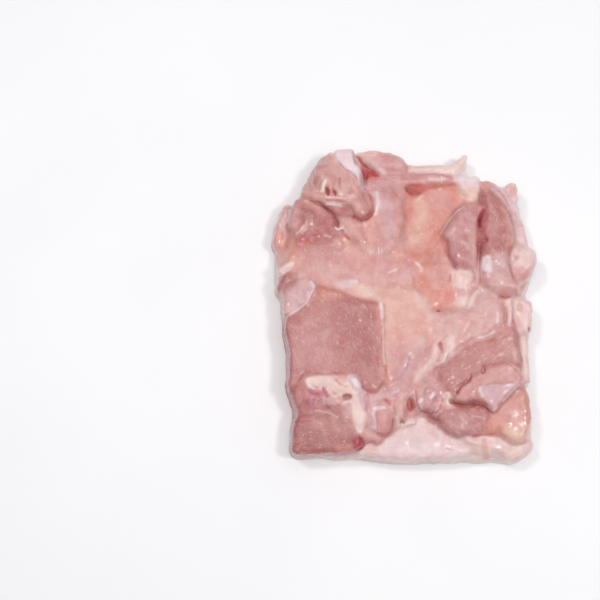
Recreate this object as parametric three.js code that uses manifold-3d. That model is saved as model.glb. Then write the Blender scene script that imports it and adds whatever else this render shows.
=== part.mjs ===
// A raw chicken thigh, boned, opened out flat and lying skin down, meat side up.
// Millimetres, +Z up, +X to the right and +Y away when the meat is seen from the front.
// It is one solid. The skin and the flesh on it make a low bed whose top swells softly, and the
// broad muscles (cushions) and the long muscles, folds and fat (strands) are joined to it.

import * as THREE from "three";
import { mergeVertices } from "three/addons/utils/BufferGeometryUtils.js";
import Module from "manifold-3d";

const wasm = await Module();
wasm.setup();

// Driving dimensions
const BED_HEIGHT = 10; // of the flesh in the hollow that the bone left
const RIM_HEIGHT = 6.5; // of the skin's edge
const RIM_WIDTH = 9; // over which the top rounds down to the skin's edge
const SIDE_BULGE = 1.6; // of the side over the line where it meets the board
const MIDDLE = { x: -4.3, y: 2.5 }; // middle of the meat's own box, which goes to the origin
const CELLS = { x: 26, y: 32, z: 3 }; // of the grid on the bed's top and sides
const CUSHION_SIDES = 24;
const CUSHION_FOOT = 3; // height at which a cushion's hidden underside lies
const STRAND_SIDES = 10;
const STRAND_RINGS = 8;
const STRAND_BLUNTNESS = 0.55; // 1 draws an ellipsoid's pointed ends, 0 a bar's flat ones

// Outline of the skin, from the near left corner and round by the right
const SKIN = [
  [-61, -76], [-45, -77], [-20, -77.5], [10, -78], [32, -79], [48, -77],
  [58, -70], [59.5, -58], [57.5, -44], [58, -26], [58.5, -12], [57.5, 4],
  [62, 16], [62, 27], [59, 38], [57, 54], [50, 63], [38, 67], [24, 70],
  [10, 75], [-4, 78], [-14, 82], [-26, 84], [-40, 82], [-50, 76], [-57, 64],
  [-66, 50], [-71, 34], [-71, 18], [-67, 0], [-65, -18], [-63.5, -40],
  [-60, -54], [-62, -66],
];

// Soft swellings of the bed: name, outline, top, and width of the slope at the edge
const SWELLINGS = [
  ["flesh round the hollow", [[-70, 30], [-60, 62], [-40, 80], [-14, 79], [-4, 60], [-6, 34],
    [10, 16], [22, 30], [24, 62], [40, 64], [58, 40], [58, 0], [56, -60], [20, -64],
    [-10, -62], [-40, -70], [-62, -60], [-66, -10]], 13.5, 9],
  ["left fat", [[-73, 30], [-72, 13], [-60, 15], [-51, 20], [-54, 32], [-66, 44]], 15.5, 8],
  ["band across the middle", [[-64, 20], [-48, 28], [-28, 30], [-14, 30], [0, 24], [3, 13],
    [-16, 6], [-34, 6], [-54, 10]], 16.5, 8],
  ["far left slope", [[-46, 82], [-56, 72], [-63, 58], [-54, 48], [-40, 52], [-36, 76]], 17, 10],
  ["under the top lobe", [[-30, 72], [-6, 72], [3, 64], [-6, 55], [-26, 54]], 16, 7],
  ["far cream fat", [[22, 70], [36, 69], [38, 60], [32, 52], [24, 54], [20, 62]], 15.5, 6],
  ["wet red patch", [[2, 18], [12, 22], [20, 18], [24, 8], [21, 0], [13, -4], [5, 1],
    [1, 9]], 14, 6],
  ["gristle bed", [[-61, -44], [-44, -40], [-30, -44], [-28, -57], [-44, -59],
    [-59, -58]], 17, 5],
  ["near flesh", [[-28, -44], [0, -36], [14, -42], [20, -52], [18, -64], [2, -56], [-12, -66],
    [-26, -66]], 14.5, 6],
];

// Broad muscles and pads: name, outline, top, and width of the rounded edge
const CUSHIONS = [
  ["square muscle", [[-67.5, -9], [-60, -2], [-50, 6], [-38, 8], [-27, 4], [-17, 1], [-15, -12],
    [-16, -30], [-19, -44], [-30, -40], [-42, -37.5], [-56, -38.5], [-64, -45],
    [-66, -26]], 22, 7],
  ["corner of the square muscle", [[-71, 15], [-60, 17], [-49, 13], [-50, 2], [-60, -8],
    [-69, -6]], 18.5, 6],
  ["upper left muscle", [[-66, 50], [-53, 55], [-40, 51], [-32, 40], [-31, 27], [-45, 21],
    [-60, 23], [-69, 33]], 21, 9],
  ["smooth pad", [[-18, 9], [-8, 13], [4, 12], [11, 3], [13, -8], [11, -22], [4, -34],
    [-8, -44], [-17, -40], [-18, -14]], 17.5, 9],
  ["pale pad", [[11, -4], [20, -1], [30, 8], [42, 10], [49, 2], [48, -10], [39, -18],
    [26, -24], [13, -31], [8, -16]], 20, 7],
  ["near right muscle", [[8, -33], [18, -26], [32, -19], [44, -12], [55, -9], [57.5, -24],
    [58, -40], [42, -49], [22, -51], [11, -45]], 19.5, 6],
  ["flap on the near right muscle", [[21, -48], [25, -39], [34, -31.5], [48, -30.5], [56, -35],
    [55.5, -42], [46, -50], [38, -53.5], [29, -51.5]], 23.5, 5],
  ["near right corner muscle", [[35, -55], [46, -48], [58.5, -42], [60, -58], [57, -68],
    [46, -70], [35, -66]], 17.5, 7],
  ["near left muscle", [[-62, -57], [-50, -51], [-36, -53], [-28, -60], [-26, -70],
    [-34, -75.5], [-47, -77], [-61, -77.5], [-64.5, -68]], 18, 6],
  ["skin drawn up to a peak", [[-29, -76], [-24, -70], [-12, -65], [-4, -59], [2, -55],
    [9, -60], [17, -66], [25, -71], [26, -77], [0, -79], [-18, -78.5]], 13, 8],
];

// Long muscles, folds and lumps of fat: name, middle line as [x, y, top], half width and half
// height. The ends are round, so they reach a half width past the line.
const STRANDS = [
  ["strip fold", [[-52, 54, 21], [-42, 53.5, 26], [-31, 51, 25]], 4.8, 6],
  ["round lobe", [[-36, 68, 23], [-31, 59, 27], [-27.5, 51, 27.5]], 7.4, 8],
  ["left tan strip", [[-50, 71, 19], [-48, 58, 24]], 6, 8],
  ["middle tan strip", [[-42, 77, 19], [-40.5, 66, 24.5], [-40, 58, 25.5]], 6, 8],
  ["right tan strip", [[-37, 76, 20], [-35, 61, 25]], 5.4, 7],
  ["membrane flap", [[-36, 80.5, 18], [-33.5, 74, 23], [-29.5, 64, 27]], 3.8, 4.5],
  ["small far left lobe", [[-44, 79, 16], [-43, 72, 18]], 3.4, 5],
  ["top lobe", [[-23, 77, 20], [-14, 75, 21.5], [-5, 73, 19]], 8, 9],
  ["flesh below the top lobe", [[-21, 64, 18], [-10, 65, 18], [-2, 63, 17]], 6, 7],
  ["wedge", [[-15, 57, 19], [-14, 42, 20], [-14, 28, 17.5]], 8.5, 8],
  ["light strip", [[-34.5, 43, 22], [-27, 35, 22], [-19, 26, 18]], 5.8, 7],
  ["left strip", [[-62, 51, 17], [-66, 38, 18]], 5, 6],
  ["left lobe", [[-66.5, 40, 15], [-67.5, 20, 14.5]], 5, 7],
  ["far roll", [[-6, 67.5, 18], [7, 66.5, 20], [21, 65.5, 18]], 5, 7],
  ["far fat", [[-2, 73, 14.5], [10, 73.5, 15.5], [21, 72.5, 13.5]], 4, 6],
  ["far fat tip", [[18, 71, 12.5], [23, 74, 13], [26.5, 79.5, 12]], 2.8, 4.5],
  ["inner long muscle", [[28, 47, 20], [26, 36, 22.5], [24.5, 23, 19]], 8.8, 10],
  ["outer long muscle", [[41, 56, 21], [42.5, 40, 26], [44, 14, 22.5]], 10.2, 12],
  ["far right fold", [[40, 62, 20], [48, 56.5, 21], [52.5, 46, 19], [54.5, 37, 16]], 4.6, 7],
  ["far right lobe", [[52.5, 62, 14.5], [54, 50, 14.5]], 4.4, 6],
  ["right fat", [[56, 27, 17], [55.5, 16, 17]], 8, 8.5],
  ["inner fat", [[25, 14.5, 18], [24.5, 8, 18]], 5.8, 7],
  ["inner fat tail", [[25, 7, 17.5], [25.5, -1, 17]], 3.4, 6],
  ["oblong fat", [[33, 7, 22], [28, 1, 19]], 3, 4],
  ["under flap muscle", [[19, -58, 16.5], [27, -59, 18.5], [36, -59.5, 17]], 8.4, 9],
  ["right edge fat", [[55.5, 4, 14.5], [56, -13, 14.5]], 4.8, 7],
  ["right edge skin", [[56, -18, 13], [56, -40, 13.5]], 3.2, 6],
  ["fat trail", [[16.5, -18, 20], [10.5, -27, 19.5], [3, -35, 18]], 3.4, 6],
  ["shiny lobe", [[8, -42, 18], [7, -49, 18.5]], 7, 9],
  ["near middle lobe", [[-4, -45, 17], [-6, -56, 16]], 6.4, 8],
  ["gristle ring", [[-57, -41, 18.5], [-44, -40.5, 21.5], [-33, -43, 21], [-27, -52, 18],
    [-28.5, -65, 15.5]], 5, 7],
  ["near left lobe", [[-18, -52, 19.5], [-17, -62, 18]], 8.2, 9],
  ["near right roll of skin", [[25, -72, 12.5], [36, -71, 15], [48, -73, 14],
    [55, -68, 12]], 5.4, 7],
];

const FLESH = new THREE.MeshStandardMaterial({
  name: "raw_meat",
  color: 0xd9a39c,
  roughness: 0.35,
  metalness: 0,
});

const OUTLINE_STEPS = 6; // curve points for each point of an outline

function smoothOutline(outline) {
  const corners = outline.map(([x, y]) => new THREE.Vector3(x, y, 0));
  const curve = new THREE.CatmullRomCurve3(corners, true);
  return curve.getPoints(outline.length * OUTLINE_STEPS);
}

// How far (x, y) lies inside a closed chain of points; negative outside
function depthInside(chain, x, y) {
  let inside = false;
  let depth = Infinity;
  for (let i = 1; i < chain.length; i++) {
    const [a, b] = [chain[i - 1], chain[i]];
    const [runX, runY] = [b.x - a.x, b.y - a.y];
    const t = ((x - a.x) * runX + (y - a.y) * runY) / (runX ** 2 + runY ** 2);
    const on = THREE.MathUtils.clamp(t, 0, 1);
    depth = Math.min(depth, Math.hypot(x - a.x - on * runX, y - a.y - on * runY));
    const spans = a.y > y !== b.y > y;
    if (spans && x < a.x + (runX * (y - a.y)) / runY) inside = !inside;
  }
  return inside ? depth : -depth;
}

// Distance from a centre to a closed chain of points, in the direction of an angle
function reach(chain, centre, angle) {
  const [dx, dy] = [Math.cos(angle), Math.sin(angle)];
  let furthest = 0;
  for (let i = 1; i < chain.length; i++) {
    const [a, b] = [chain[i - 1], chain[i]];
    const [ax, ay] = [a.x - centre.x, a.y - centre.y];
    const [runX, runY] = [b.x - a.x, b.y - a.y];
    const facing = dx * runY - dy * runX;
    const along = (ax * runY - ay * runX) / facing;
    const share = (ax * dy - ay * dx) / facing;
    if (share >= 0 && share <= 1) furthest = Math.max(furthest, along);
  }
  return furthest;
}

const skinEdge = smoothOutline(SKIN);
const swellings = SWELLINGS.map(([, outline, top, slope]) => {
  const chain = smoothOutline(outline);
  return (x, y) => {
    const share = THREE.MathUtils.smoothstep(depthInside(chain, x, y), -slope / 2, slope / 2);
    return THREE.MathUtils.lerp(BED_HEIGHT, top, share);
  };
});

// Height of the bed at (x, y): its highest swelling, rounded down to the skin's edge
function bedTop(x, y) {
  const swollen = Math.max(...swellings.map((swelling) => swelling(x, y)));
  const inwards = THREE.MathUtils.clamp(depthInside(skinEdge, x, y) / RIM_WIDTH, 0, 1);
  return THREE.MathUtils.lerp(RIM_HEIGHT, swollen, Math.sqrt(1 - (1 - inwards) ** 2));
}

function halfSpan(axis) {
  const ends = skinEdge.map((point) => point[axis]);
  return (Math.max(...ends) - Math.min(...ends)) / 2;
}

// A box whose square grid is spread out to the skin's edge, with its sides bulged and its top
// swollen; it reaches a little way under the board
function bed() {
  const box = new THREE.BoxGeometry(2, 2, 1, CELLS.x, CELLS.y, CELLS.z);
  const place = box.getAttribute("position");
  const half = { x: halfSpan("x"), y: halfSpan("y") };
  for (let i = 0; i < place.count; i++) {
    const [u, v] = [place.getX(i), place.getY(i)];
    const level = place.getZ(i) + 0.5;
    const share = Math.max(Math.abs(u), Math.abs(v));
    const angle = Math.atan2(v * half.y, u * half.x);
    const side = share > 0.999 ? SIDE_BULGE * (2 * level - 1) ** 2 : 0;
    const radius = share * reach(skinEdge, MIDDLE, angle) - side;
    const [x, y] = [MIDDLE.x + radius * Math.cos(angle), MIDDLE.y + radius * Math.sin(angle)];
    place.setXYZ(i, x, y, level === 0 ? -1 : level * bedTop(x, y));
  }
  return solid(box);
}

// Everything under z = 0
function board() {
  const block = new THREE.BoxGeometry(400, 400, 40);
  block.translate(0, 0, -20);
  return solid(block);
}

// A lathe stretched out to an outline: flat across, and rounded down at its edge
function cushion([, outline, top, edge]) {
  const chain = smoothOutline(outline);
  const centre = {
    x: chain.reduce((sum, point) => sum + point.x, 0) / chain.length,
    y: chain.reduce((sum, point) => sum + point.y, 0) / chain.length,
  };
  const rise = top - CUSHION_FOOT;
  const profile = [
    [0, 0, CUSHION_FOOT],
    [1, -0.6 * edge, CUSHION_FOOT],
    [1, -0.1 * edge, CUSHION_FOOT + 0.3 * rise],
    [1, 0, CUSHION_FOOT + 0.55 * rise],
    [1, -0.15 * edge, CUSHION_FOOT + 0.78 * rise],
    [1, -0.5 * edge, CUSHION_FOOT + 0.93 * rise],
    [1, -edge, top],
    [0, 0, top + 0.6],
  ];
  const lathe = new THREE.LatheGeometry(
    profile.map((step, i) => new THREE.Vector2(step[0], i)),
    CUSHION_SIDES,
  );
  lathe.rotateX(Math.PI / 2);
  const place = lathe.getAttribute("position");
  for (let i = 0; i < place.count; i++) {
    const [x, y] = [place.getX(i), place.getY(i)];
    const [share, inset, height] = profile[Math.round(place.getZ(i))];
    const angle = Math.atan2(y, x);
    const radius = share === 0 ? 0 : reach(chain, centre, angle) + inset;
    const [east, north] = [radius * Math.cos(angle), radius * Math.sin(angle)];
    place.setXYZ(i, centre.x + east, centre.y + north, height);
  }
  return solid(lathe);
}

// A ball drawn out along a line, with round ends
function strand([, line, halfWidth, halfHeight]) {
  const spine = new THREE.CatmullRomCurve3(
    line.map(([x, y, top]) => new THREE.Vector3(x, y, top - halfHeight)),
  );
  const ball = new THREE.SphereGeometry(1, STRAND_SIDES, STRAND_RINGS);
  const place = ball.getAttribute("position");
  for (let i = 0; i < place.count; i++) {
    const [across, along, up] = [place.getX(i), place.getY(i), place.getZ(i)];
    const on = spine.getPoint((1 + along) / 2);
    const way = spine.getTangent((1 + along) / 2);
    const flat = Math.hypot(way.x, way.y);
    const ring = Math.hypot(across, up);
    const girth = ring > 1e-6 ? ring ** STRAND_BLUNTNESS / ring : 0;
    const side = across * girth * halfWidth;
    const past = halfWidth * along ** 3;
    place.setXYZ(
      i,
      on.x + (way.y * side + way.x * past) / flat,
      on.y + (-way.x * side + way.y * past) / flat,
      on.z + up * girth * halfHeight,
    );
  }
  return solid(ball);
}

// The closed surface of a geometry as a solid that can be joined and cut
function solid(geometry) {
  geometry.deleteAttribute("normal");
  geometry.deleteAttribute("uv");
  const merged = mergeVertices(geometry, 1e-4);
  const corners = merged.index.array;
  const faces = [];
  for (let i = 0; i < corners.length; i += 3) {
    const [a, b, c] = corners.slice(i, i + 3);
    if (a !== b && b !== c && c !== a) faces.push(a, b, c);
  }
  const vertProperties = merged.getAttribute("position").array;
  const triVerts = new Uint32Array(faces);
  return new wasm.Manifold(new wasm.Mesh({ numProp: 3, vertProperties, triVerts }));
}

function thigh() {
  const flesh = [...CUSHIONS.map(cushion), ...STRANDS.map(strand)];
  const whole = flesh.reduce((sum, piece) => sum.add(piece), bed()).subtract(board());
  const { vertProperties, triVerts } = whole.getMesh();
  const geometry = new THREE.BufferGeometry();
  geometry.setAttribute("position", new THREE.BufferAttribute(vertProperties, 3));
  geometry.setIndex(new THREE.BufferAttribute(triVerts, 1));
  geometry.translate(-MIDDLE.x, -MIDDLE.y, 0);
  geometry.computeVertexNormals();
  const mesh = new THREE.Mesh(geometry, FLESH);
  mesh.name = "thigh";
  return mesh;
}

const part = new THREE.Group();
part.add(thigh());

export default part;
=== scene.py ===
"""A raw chicken thigh, boned and opened out flat, lying skin down on a pale table.

The flesh is sculpted as one solid from named muscles, pads of fat, membranes and folds of skin.
Its places are millimetres in the frame of the meat, before the shift that puts the middle of
its box at the origin; Blender's own objects are in metres.
"""

import math
from typing import NamedTuple

import bpy
import numpy as np
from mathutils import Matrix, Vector


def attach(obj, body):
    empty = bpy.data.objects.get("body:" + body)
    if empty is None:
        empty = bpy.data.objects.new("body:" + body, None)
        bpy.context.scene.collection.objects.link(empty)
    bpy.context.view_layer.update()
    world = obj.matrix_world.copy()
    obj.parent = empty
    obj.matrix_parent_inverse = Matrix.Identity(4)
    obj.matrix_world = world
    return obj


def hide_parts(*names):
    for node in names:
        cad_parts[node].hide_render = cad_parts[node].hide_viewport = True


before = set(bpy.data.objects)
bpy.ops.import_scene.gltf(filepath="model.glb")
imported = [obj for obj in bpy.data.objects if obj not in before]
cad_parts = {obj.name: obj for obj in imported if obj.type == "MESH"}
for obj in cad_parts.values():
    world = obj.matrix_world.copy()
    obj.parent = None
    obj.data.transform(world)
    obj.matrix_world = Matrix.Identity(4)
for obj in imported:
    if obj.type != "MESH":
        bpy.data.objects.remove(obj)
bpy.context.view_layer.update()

bl_info = {
    "name": "Raw Chicken Thigh",
    "version": (1, 0, 0),
    "blender": (4, 5, 0),
    "location": "3D View > Sidebar > Thigh",
    "description": "Builds a boned raw chicken thigh, opened out flat, and its stage",
    "category": "Object",
}

MM = 0.001  # metres in a millimetre
MIDDLE = (-4.3, 2.5)  # middle of the meat's box, which goes to the origin

# The block of space in which the flesh is sculpted
BLOCK_X = (-76, 72)
BLOCK_Y = (-84, 90)
BLOCK_TOP = 30

# Shapes, in millimetres. A blend is the width of the rounding where shapes meet.
BED_HEIGHT = 9.0  # of the flesh at the outer edges
SKIN_EDGE = 4.0  # width of the skin's rounded edge
SKIN_FOOT = -1.5  # the skin's slab starts below the table, so that its side is full there
SLAB_POWER = 2.6  # how square the edge of a slab is; 2 would make it a quarter of an ellipse
THINNEST_SLAB = 0.3  # half of the least height of a slab
CLEFT_FLARE = 0.35  # how much wider a cleft gets, as a share for each millimetre up
CLEFT_PACE = 0.8  # its walls lean, so distances from them are less than measured level
CLEFT_BLEND = 1.2
CUSHION_ROOM = 4.0  # room left round a cushion for its blend
STRAND_ROOM = 3.0
OUTLINE_DROP = 0.4  # a cushion's outline is placed this share of its edge below its top
FILL_REACH = 5.0  # gaps up to twice this wide are filled between the lobes
FILL_DEPTH = 0.6  # how far below the lobes' tops they are filled
FILL_BLUR = 4.0  # distance over which the fill's top is softened
FILL_BLEND = 1.6
FILL_PACE = 0.7  # the fill's top slopes, so distances from it are less than its height
SMOOTHING = (3, 0.4)  # passes and share that take the steps of the grid out of the surface

# Paint
TISSUE_BLEND = 0.6  # how far tissues run into each other where lobes meet
UNDERSIDE = (-0.25, 0.15)  # how far down surfaces face where skin sets in
RIM = (-3, -1)  # skin sets in from 3 mm to 1 mm inside its outline
UPWARD = (0.0, 0.35)  # how far up surfaces face where patches and streaks set in
STEEP = (0.35, 0.8)  # how far up surfaces face where walls turn into tops
STEEP_WALL_SHADE = 0.6  # painted shade: how far steep walls of muscle are darkened with the dark muscle's tone
HOLLOW_SHADE = 0.38  # painted shade: how far hollows are darkened with the clefts' tone
HOLLOW_DEPTHS = (0.15, 1.1)  # depths over which they take it
HOLLOW_SMOOTHING = (16, 0.6)  # passes and share that give the surface they lie below
RELIEF_FOOT = (0.4, 3.0)  # heights over which relief sets in above the flat underside

LEVEL = 12.0  # height of the level on which the camera's view of the meat is measured

# The camera, in the same millimetres: 0.5 m from the meat and 80 degrees above the table
CAMERA_PLACE = (-58.0, -86.8, 542.4)
CAMERA_TARGET = (-58.5, -3.6, 50.0)
FOCAL_PIXELS = 1046.0
PHOTO_SIDE = 600.0
SENSOR_WIDTH = 36.0


class Cushion(NamedTuple):
    """A broad muscle or pad: flat across and rounded down over `edge` at its outline."""

    name: str
    tissue: str
    outline: tuple
    top: float
    edge: float
    grain: float = 90.0  # direction of the fibres, in degrees from +X
    foot: float = 1.5  # height of its underside
    blend: float = 0.8
    slope: tuple = (0.0, 0.0)  # rise of the top for each millimetre east and north


class Strand(NamedTuple):
    """A long muscle, fold or lump: a bar along a line of (x, y, top, share of the width)."""

    name: str
    tissue: str
    line: tuple
    width: float  # half of it
    height: float  # half of it
    blend: float = 0.8


class Cleft(NamedTuple):
    """A deep narrow gap along a line of (x, y, height of its floor)."""

    name: str
    line: tuple
    width: float  # half of it


class Patch(NamedTuple):
    """A stretch of another tissue, which may stand proud by `relief`."""

    tissue: str
    outline: tuple
    fade: float  # width of its soft edge
    strength: float = 1.0
    relief: float = 0.0


class Stroke(NamedTuple):
    """A streak of another tissue in or on the surface, raised or sunk by `relief`."""

    tissue: str
    line: tuple
    width: float  # half of it
    strength: float = 1.0
    relief: float = 0.0


# SKIN and SWELLINGS are given where they lie. The other tables are given where the camera
# sees them against a level 12 mm above the table. Names are labels for the reader.

# Outline of the skin where it lies on the table
SKIN = (
    (-61, -76), (-45, -77), (-20, -77.5), (10, -78), (32, -79), (48, -77),
    (58, -70), (59.5, -58), (57.5, -44), (58, -26), (58.5, -12), (57.5, 4),
    (62, 16), (62, 27), (59, 38), (57, 54), (50, 63), (38, 67), (24, 70),
    (10, 75), (-4, 78), (-14, 82), (-26, 84), (-40, 81), (-47, 76), (-54, 64),
    (-64, 51), (-70, 35), (-71, 18), (-67, 0), (-65, -18), (-63.5, -40),
    (-60, -54), (-62, -66),
)

# Soft swellings and hollows of the bed, each laid over the ones before it: outline, height
# and width of the slope at the edge
SWELLINGS = (
    (((-66, 20), (-58, 56), (-42, 74), (-16, 76), (4, 71), (34, 65), (50, 58), (54, 40),
      (58, 24), (53, 2), (54, -40), (52, -62), (24, -62), (2, -58), (-20, -66), (-56, -70),
      (-58, -56), (-60, -40), (-62, -10)), 15.0, 12),
    (((-60, 26), (-58, 48), (-44, 66), (-16, 68), (-6, 60), (-6, 34), (4, 24), (-2, 10),
      (22, -4), (46, 0), (48, -40), (14, -40), (-6, -46), (-22, -62), (-50, -64), (-56, -40),
      (-58, 10)), 17.4, 9),
    (((-66, 24), (-56, 44), (-44, 48), (-24, 44), (-8, 28), (2, 12), (-8, 4), (-34, 6),
      (-52, 14), (-64, 16)), 18.3, 8),
    (((-5, 66), (14, 66), (27, 62), (28, 53), (19, 42), (15, 32), (4, 32), (-3, 38),
      (-5, 50)), 14.8, 10),
    (((2, 21), (14, 22), (20, 15), (21, 4), (15, -2), (8, -1), (4, 6), (1, 11)), 16.2, 5),
)

# Broad muscles and pads, each laid over the ones before it
CUSHIONS = (
    Cushion("square muscle", "rose",
            ((-67, -9), (-64, -5.5), (-58, -2), (-55, 1), (-52, 7), (-50, 9.5), (-44, 9),
             (-37, 6.5), (-30, 3.5), (-17, 1), (-15.8, -3), (-15.6, -14), (-15.2, -26),
             (-14.5, -33), (-16, -39), (-21, -44), (-26, -43), (-29, -38), (-33, -36),
             (-44, -35.5), (-56, -35.5), (-60, -40), (-64, -45), (-64.5, -34), (-65, -22)),
            19.5, 1.8, grain=118, blend=1.6),
    Cushion("near end of the square muscle", "rose",
            ((-63, -34), (-55, -35), (-54, -43), (-56, -51), (-60, -54), (-63, -46)), 18, 4,
            grain=100, blend=1.6),
    Cushion("corner sheet", "film",
            ((-69, 8), (-66, 11), (-61, 13), (-56, 14.5), (-52, 13), (-50.5, 10), (-53, 5.5),
             (-55.3, 1), (-60, -3), (-66, -6.5), (-68, -1), (-67.5, 3)), 19.4, 2.4, grain=60),
    Cushion("upper left muscle", "brown",
            ((-62, 50), (-57, 53.5), (-50, 52), (-44, 49.5), (-39.5, 44), (-37, 39), (-36, 32),
             (-40, 26), (-50, 23), (-60, 24), (-63, 32), (-60, 38), (-58, 44)), 19.9, 10,
            grain=150, blend=3.0),
    Cushion("foot of the tan lobes", "tan",
            ((-49, 74), (-44, 76), (-37, 75), (-31, 71), (-27, 64), (-28, 57), (-40, 56),
             (-50, 57.5), (-54.5, 60), (-52, 67)), 21, 5, grain=100, blend=1.6),
    Cushion("membrane flap", "membrane",
            ((-41, 83.4), (-35, 84.2), (-30, 83.4), (-29.6, 78), (-27.4, 73), (-25.9, 67),
             (-26.2, 61.8), (-27.6, 66.2), (-31, 70.2), (-35, 73), (-38, 77), (-39.6, 80)),
            23.4, 1.2, foot=17, slope=(0.1, -0.12), blend=0.3),
    Cushion("top lobe", "pink",
            ((-28.5, 81), (-24, 83.6), (-16, 83.2), (-9, 82), (-4, 79), (-1.8, 75.5),
             (-3.5, 72), (-9, 70), (-14.5, 69.6), (-19, 72), (-23, 76), (-27, 79)), 19.4, 6,
            grain=170),
    Cushion("wedge", "mauve",
            ((-19, 60), (-13, 62), (-7, 54), (-6, 38), (-10, 30), (-18, 27.5), (-22, 33),
             (-22, 44), (-20.5, 52)), 18.7, 6, grain=95, blend=3.0),
    Cushion("cream fat", "fat",
            ((21.5, 69.5), (24, 70.5), (30, 70.2), (36, 69.5), (34.5, 64), (34, 58),
             (31, 56), (26.5, 57.5), (25, 62), (23, 66)), 16.5, 3.5),
    Cushion("wet red pad", "orange",
            ((1.5, 19), (8, 20.5), (15, 19.5), (19, 16.5), (20.5, 10), (21, 3), (17, -1),
             (11.5, -2.2), (7.5, 1), (5, 6), (1.5, 10.5)), 17.0, 5, grain=70, blend=3.0),
    Cushion("inner long muscle", "mauve",
            ((27, 52.8), (33.2, 54), (33.8, 46), (33.6, 34), (34, 24), (34, 12), (30.6, 9.5),
             (30.2, 18), (22.5, 19.6), (18.6, 24), (16.8, 30), (15, 38), (20, 46)), 19.8, 4,
            grain=100, blend=1.6),
    Cushion("outer long muscle", "rose",
            ((35, 60.5), (40, 62), (45, 58), (49, 52), (51.5, 45), (52, 36), (50.5, 29),
             (45, 22), (38, 22), (35, 26), (34.6, 34), (35.2, 44), (36.4, 51), (34.8, 56)),
            22.4, 7, grain=95, blend=1.2),
    Cushion("lilac lobe", "film",
            ((34.6, 22), (36.5, 28), (43, 30.5), (49, 29), (50.5, 22), (52.5, 16), (55, 11.5),
             (54, 7.5), (49, 5.6), (43, 6), (37.5, 9), (34.4, 14)), 22, 6, grain=20,
            blend=2.0),
    Cushion("right fat", "skin",
            ((50, 29), (53, 32), (59, 32), (64, 29), (65, 24), (62.5, 18.5), (59, 15),
             (55, 13.2), (51.5, 15.5), (49.8, 20)), 17.8, 4.5),
    Cushion("far right lump", "skin",
            ((48.8, 62.5), (50.5, 66), (55.8, 66), (56.2, 58), (54.6, 54), (51.4, 57)),
            16.8, 3),
    Cushion("inner fat", "fat",
            ((21, 18), (30, 17.6), (29.6, 12), (28.8, 8.5), (29, 2), (27, -1.6), (24, -2.4),
             (23.4, 2), (22.5, 7), (20.4, 13)), 17.6, 2.6),
    Cushion("smooth pad", "fascia",
            ((-26, -2), (-20, 6), (-12, 11), (-4, 11.5), (1.5, 10), (4.5, 6), (7.5, 0.5),
             (10, -3), (11.5, -9), (9.5, -17), (4, -23), (-1, -30), (-7, -37), (-14, -42),
             (-22, -38), (-26, -20)), 18.9, 6, grain=75, blend=2.0),
    Cushion("pale pad", "film",
            ((10, -3.4), (20, -1.6), (27, -1), (30, 2), (35.5, 9), (41, 6.5), (45, 4),
             (46.8, -1), (46.4, -9.6), (41, -13.4), (36, -15.8), (29, -18.5), (22, -23),
             (17.5, -26.5), (15, -22), (13, -12)), 19.2, 4, grain=30, blend=2.0),
    Cushion("right fat fold", "skin",
            ((51, 3.6), (56, 3.8), (61, 2.4), (61.4, -7), (59.6, -13), (55, -13.6),
             (52.4, -8), (51, -2)), 15.8, 4),
    Cushion("near right muscle", "rose",
            ((10, -33), (16.5, -27.5), (24, -21.5), (31, -18.5), (38, -16.5), (45, -11),
             (50, -9.6), (53, -14), (54, -22), (54.4, -32), (48, -42), (36, -48),
             (21, -47.4), (15, -44), (11, -38)), 19.2, 3.5, grain=38),
    Cushion("flap", "pink",
            ((35, -31.6), (42, -29.4), (49, -29.5), (53, -32), (55.2, -35.5), (54.8, -39.5),
             (50, -44), (44.5, -48.7), (40, -53.4), (36, -51), (28, -50.2), (20.5, -48.8),
             (21.8, -44), (24, -41), (27.5, -38.6), (28.5, -36), (31.5, -34.2)), 21.4, 2.4,
            grain=20, foot=14, blend=0.5),
    Cushion("muscle under the flap", "mauve",
            ((12, -56), (18.5, -51.4), (28, -52), (36, -52.8), (38, -57), (36, -62),
             (33, -65), (28, -66.4), (20, -65.5), (14, -62)), 17.8, 4, grain=150, blend=1.4),
    Cushion("near right corner muscle", "tan",
            ((39, -53.6), (44, -50.6), (50, -45.6), (55.6, -40.6), (57.6, -46), (59, -54),
             (57.8, -63), (55, -69), (49, -70), (43, -66.4), (36, -64.8), (35.6, -59)),
            17.4, 5, grain=80),
    Cushion("near left muscle", "brown",
            ((-60, -55.5), (-55, -55.5), (-50, -54), (-43, -53), (-37, -56), (-32, -60),
             (-27.5, -66), (-26.6, -70.6), (-31, -74), (-40, -75), (-61, -76.6),
             (-61.5, -66)), 17.6, 2.2, grain=15),
    Cushion("skin drawn up to a peak", "skin",
            ((-30, -76), (-25, -71), (-18, -69.2), (-10, -64), (-4, -59.5), (2, -56),
             (8, -60.5), (17, -66.5), (25, -70.6), (26, -77), (0, -79), (-18, -78.5)),
            13.8, 7, blend=1.6),
)

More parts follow.
